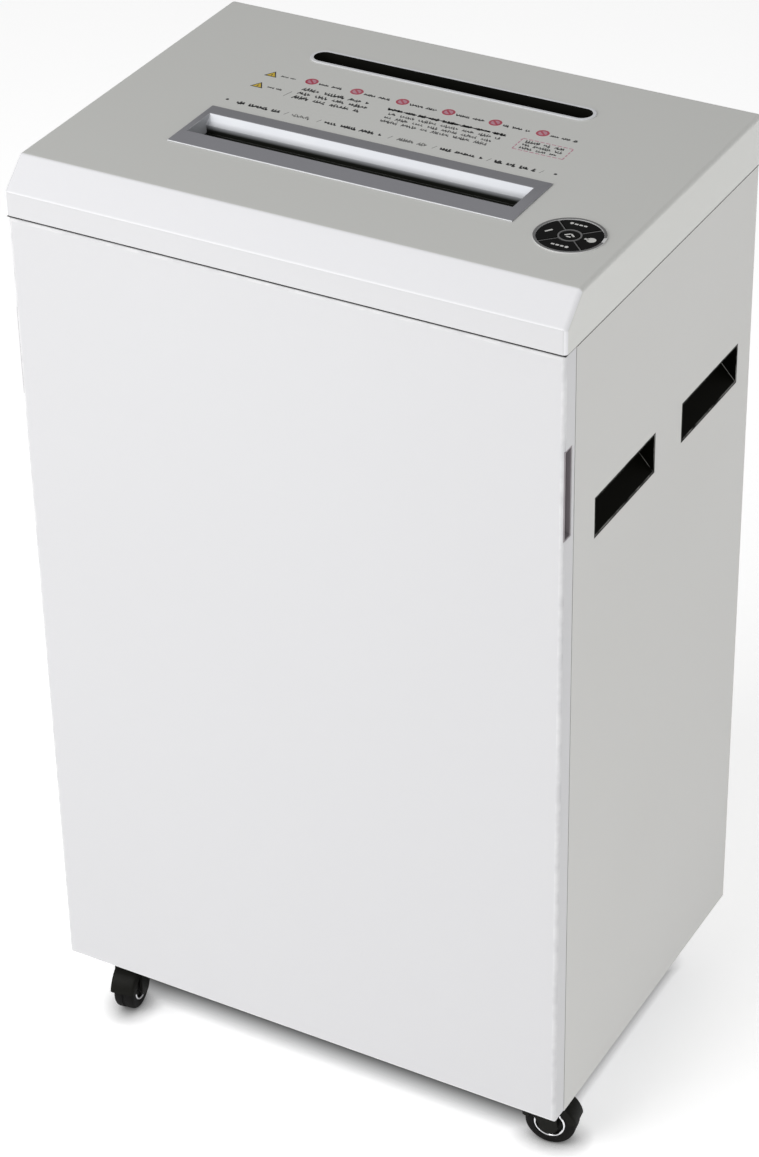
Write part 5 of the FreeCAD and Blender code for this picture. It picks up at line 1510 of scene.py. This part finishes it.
@dataclass
class Caster(Assembly):
    """One swivel caster: a black fork and a black wheel with a grooved tyre and a bright ring."""

    corner: Corner
    half_width: float = 8.5 * MM
    rim: float = 12.6 * MM
    bore: float = 3.1 * MM
    flank: tuple[Point, ...] = ((0.0, 0.6 * MM), (0.8 * MM, 0.0))
    shoulder: tuple[Point, ...] = ((3.4 * MM, 0.0), (1.5 * MM, 0.6 * MM), (0.4 * MM, 1.8 * MM),
                                   (0.0, 3.2 * MM))
    tread: tuple[Point, ...] = ((0.0, 1.2 * MM), (0.8 * MM, 0.7 * MM))
    hub_face: float = 1.0 * MM
    hub_dish: float = 2.6 * MM
    boss_top: float = 2.2 * MM
    boss_foot: float = 3.0 * MM
    well_foot: float = 2.4 * MM
    well_top: float = 1.8 * MM
    overlap: float = 0.1 * MM
    ring_section: tuple[Point, ...] = ((1.7 * MM, 1.4 * MM), (1.7 * MM, 0.5 * MM), (1.3 * MM, 0.1 * MM),
                                       (0.5 * MM, 0.1 * MM), (0.1 * MM, 0.5 * MM), (0.1 * MM, 1.4 * MM))
    hood_gap: float = 1.2 * MM
    hood_wall: float = 1.2 * MM
    hood_lift: float = 0.22
    steps: int = 96

    def build(self) -> None:
        """Make the caster's pieces."""
        name = self.corner.value
        self.refine(f"{name}_fork", Look.DARK, 0.5 * MM, 3)
        joint = next(j for j in frame["joints"] if j["name"] == f"{name}_roll")
        axle, centre = Vector(joint["axis"]).normalized(), Vector(joint["pos_m"])
        low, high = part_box(f"{name}_wheel")
        radius = (high.z - low.z) / 2
        self.wheel(name, axle, centre, radius)
        self.ring(name, axle, centre)
        self.hood(name, axle, centre, radius)

    def wheel(self, name: str, axle: Vector, centre: Vector, radius: float) -> None:
        """Tyre and hub in one mesh.

        Args:
            name: The caster's corner.
            axle: Unit vector along the axle.
            centre: The wheel's centre.
            radius: Outer radius.
        """
        half, rim, bore = self.half_width, self.rim, self.bore
        flank = [(rim + rise, half - inset) for rise, inset in self.flank]
        shoulder = [(radius - drop, half - inset) for drop, inset in self.shoulder]
        tread = [(radius - drop, reach) for drop, reach in self.tread]
        face, dish = half - self.hub_face, half - self.hub_dish
        hub = [(bore, face), (bore + self.boss_top, face), (bore + self.boss_foot, dish),
               (rim - self.well_foot, dish), (rim - self.well_top, face), (rim + self.overlap, face)]
        tyre = Clay()
        for half_section in (flank + shoulder + tread, hub):
            mirrored = [(r, -reach) for r, reach in reversed(half_section)]
            tyre.turn(half_section + mirrored, axle, centre, self.steps)
        tyre.paint(1, lambda face: self.off_axle(face, axle, centre) < rim)
        self.fit(tyre.fire(f"{name}_tyre"), [Look.TYRE, Look.DARK], f"{name}_wheel")

    @staticmethod
    def off_axle(face: bmesh.types.BMFace, axle: Vector, centre: Vector) -> float:
        """Distance of a face's middle from the axle."""
        spot = face.calc_center_median() - centre
        return (spot - axle * spot.dot(axle)).length

    def ring(self, name: str, axle: Vector, centre: Vector) -> None:
        """Bright ring on both faces of the hub.

        Args:
            name: The caster's corner.
            axle: Unit vector along the axle.
            centre: The wheel's centre.
        """
        clay = Clay()
        for side in (-1.0, 1.0):
            section = [(self.rim - drop, side * (self.half_width - inset))
                       for drop, inset in self.ring_section]
            clay.turn(section, axle, centre, self.steps)
        self.fit(clay.fire(f"{name}_hub_ring"), [Look.CHROME], f"{name}_wheel", slot="screw_steel",
                 replaces=False)

    def hood(self, name: str, axle: Vector, centre: Vector, radius: float) -> None:
        """Rounded guard over the upper half of the wheel, fixed to the fork.

        Args:
            name: The caster's corner.
            axle: Unit vector along the axle.
            centre: The wheel's centre.
            radius: Outer radius of the wheel.
        """
        inner = radius + self.hood_gap
        outer = inner + self.hood_wall
        half = self.half_width + self.hood_gap + self.hood_wall
        section = [(inner, half - 2.2 * MM), (inner - 4.2 * MM, half - self.hood_wall),
                   (inner - 4.2 * MM, half), (outer - 1.0 * MM, half - 1.0 * MM), (outer, half - 3.2 * MM)]
        clay = Clay()
        start = (axle.cross(UP)).normalized() * math.cos(self.hood_lift) + UP * math.sin(self.hood_lift)
        corners = [clay.bm.verts.new(centre + axle * reach + start * r)
                   for r, reach in section + [(r, -reach) for r, reach in reversed(section)]]
        face = clay.bm.faces.new(corners)
        sweep = math.pi - 2 * self.hood_lift
        bmesh.ops.spin(clay.bm, geom=[face], cent=centre, axis=axle, angle=-sweep, steps=36,
                       use_merge=False, use_duplicate=False)
        bmesh.ops.remove_doubles(clay.bm, verts=clay.bm.verts, dist=1e-7)
        self.close_ends(clay)
        self.fit(clay.fire(f"{name}_hood"), [Look.DARK], f"{name}_fork", slot="fork_black", replaces=False)

    @staticmethod
    def close_ends(clay: Clay) -> None:
        """Fill whatever rim the sweep left open.

        Args:
            clay: The swept shape.
        """
        rim = [edge for edge in clay.bm.edges if edge.is_boundary]
        if rim:
            bmesh.ops.contextual_create(clay.bm, geom=rim)


# ------------------------------------------------------------------ studio


@dataclass(frozen=True)
class Lamp:
    """A square soft light: where it stands round the object, its distance, side and power."""

    name: str
    azimuth: float
    elevation: float
    distance: float
    size: float
    power: float


@dataclass
class Studio:
    """Pale floor, soft lights and the camera."""

    paint: Paintbox
    lamps: tuple[Lamp, ...] = (Lamp("key", -30.0, 31.0, 3.2, 2.4, 70.0),
                               Lamp("fill", 75.0, 30.0, 3.4, 2.6, 28.0),
                               Lamp("back", 190.0, 55.0, 3.6, 2.6, 7.0))
    floor_depth: float = 0.02
    floor_half: float = 40.0
    floor_glow: float = 0.50
    sky: float = 0.26
    touch_reach: float = 18.0 * MM
    touch_depth: float = 1.5
    shaded_tone: Colour = (0.10, 0.10, 0.10)
    shaded_glow: Colour = (0.08, 0.08, 0.08)
    shade_steps: Point = (0.62, 1.08)
    lit_edge: Vector = field(default_factory=lambda: Vector((0.030, 0.054, 0.0)))
    stand_azimuth: float = 29.19
    stand_elevation: float = 33.64
    stand_distance: float = 2.571
    look_azimuth: float = 29.47
    look_elevation: float = 33.44
    roll: float = -1.15
    lens: float = 106.82
    sensor: float = 36.0

    def build(self, centre: Vector) -> None:
        """Make the floor, the lights and the camera round the object's centre.

        Args:
            centre: The object's centre.
        """
        self.floor()
        self.world()
        for lamp in self.lamps:
            self.light(lamp, centre)
        self.camera(centre)

    @staticmethod
    def outward(azimuth: float, elevation: float) -> Vector:
        """Unit vector from the centre towards a place given by its angles, in degrees."""
        a, e = math.radians(azimuth), math.radians(elevation)
        return Vector((math.sin(a) * math.cos(e), -math.cos(a) * math.cos(e), math.sin(e)))

    def floor(self) -> None:
        """Large level floor that glows a little, so that it stays pale, with painted shadows: darker near the
        casters' feet and under the cabinet's footprint.
        """
        clay = Clay()
        half = self.floor_half
        clay.box((-half, -half, -self.floor_depth), (half, half, 0.0))
        piece = clay.fire("studio_floor")
        self.paint.dress(piece, Look.STUDIO)
        tree = self.paint.get(Look.STUDIO).node_tree
        board = Board(tree)
        shader = next(node for node in tree.nodes if node.type == "BSDF_PRINCIPLED")
        shader.inputs["Emission Strength"].default_value = self.floor_glow
        # Painted contact shadow where the ambient occlusion finds a part close above the floor.
        near = board.add("AmbientOcclusion", Distance=self.touch_reach)
        near.samples = 8
        touch = board.maths("SUBTRACT", 1.0, board.maths("POWER", near.outputs["AO"], self.touch_depth))
        # Painted shadows: the contact shadow and the shadow under the cabinet darken the floor's colour and
        # glow.
        shade = board.maths("MAXIMUM", touch, self.under(board))
        board.feed(shader, "Base Color", board.blend(shade, Look.STUDIO.value.colour, self.shaded_tone))
        board.feed(shader, "Emission Color", board.blend(shade, (1.0, 1.0, 1.0), self.shaded_glow))

    def under(self, board: Board) -> bpy.types.NodeSocket:
        """Painted shadow of the floor under the cabinet: 1 well inside its footprint, 0 near its edges.

        Args:
            board: The floor material's board.

        Returns:
            The shade.
        """
        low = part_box("front_panel")[0]
        high = Vector((-low.x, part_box("back_panel")[1].y, 0.0))
        spot = board.add("SeparateXYZ", Vector=board.add("TexCoord").outputs["Object"])
        inside = []
        for name, start, end, lit in (("X", low.x, high.x, self.lit_edge.x),
                                      ("Y", low.y, high.y, self.lit_edge.y)):
            off = board.maths("ABSOLUTE", board.maths("SUBTRACT", spot.outputs[name], (start + end) / 2))
            depth = board.maths("SUBTRACT", (end - start) / 2, off)
            inside.append(board.maths("DIVIDE", depth, lit))
        return board.steps(board.maths("MINIMUM", *inside), *self.shade_steps)

    def world(self) -> None:
        """Even white surroundings."""
        world = bpy.data.worlds.new("soft studio")
        world.use_nodes = True
        background = next(node for node in world.node_tree.nodes if node.type == "BACKGROUND")
        background.inputs["Color"].default_value = (1.0, 1.0, 1.0, 1.0)
        background.inputs["Strength"].default_value = self.sky
        bpy.context.scene.world = world
        bpy.context.scene.view_settings.view_transform = "Standard"

    def light(self, lamp: Lamp, centre: Vector) -> None:
        """Set up a soft light that faces the centre.

        Args:
            lamp: The light.
            centre: The object's centre.
        """
        data = bpy.data.lights.new(lamp.name, "AREA")
        data.shape, data.size, data.energy = "SQUARE", lamp.size, lamp.power
        stand = bpy.data.objects.new(lamp.name, data)
        back = self.outward(lamp.azimuth, lamp.elevation)
        stand.location = centre + back * lamp.distance
        stand.rotation_mode = "QUATERNION"
        stand.rotation_quaternion = (-back).to_track_quat("-Z", "Y")
        bpy.context.scene.collection.objects.link(stand)

    def camera(self, centre: Vector) -> None:
        """Stand the camera to the front right, above the head's level.

        Args:
            centre: The object's centre.
        """
        data = bpy.data.cameras.new("camera")
        data.lens, data.sensor_width, data.sensor_fit = self.lens, self.sensor, "AUTO"
        data.clip_start, data.clip_end = 0.05, 60.0
        camera = bpy.data.objects.new("camera", data)
        stand = self.outward(self.stand_azimuth, self.stand_elevation)
        camera.location = centre + stand * self.stand_distance
        view = -self.outward(self.look_azimuth, self.look_elevation)
        camera.rotation_mode = "QUATERNION"
        aim = view.to_track_quat("-Z", "Y").to_matrix()
        camera.rotation_quaternion = (aim @ Matrix.Rotation(math.radians(self.roll), 3, "Z")).to_quaternion()
        bpy.context.scene.collection.objects.link(camera)
        bpy.context.scene.camera = camera


def main() -> None:
    """Build every sub-assembly, then the studio."""
    logging.basicConfig(level=logging.INFO, format="%(name)s %(message)s")
    paint = Paintbox()
    assemblies: list[Assembly] = [Cabinet(paint), Electrics(paint), Head(paint), ControlPad(paint),
                                  CuttingBlock(paint), Drawer(paint)]
    assemblies += [Caster(paint, corner) for corner in Corner]
    for assembly in assemblies:
        log.info("building %s", type(assembly).__name__)
        assembly.build()
    Studio(paint).build((cad_low + cad_high) / 2)


if __name__ == "__main__":
    main()
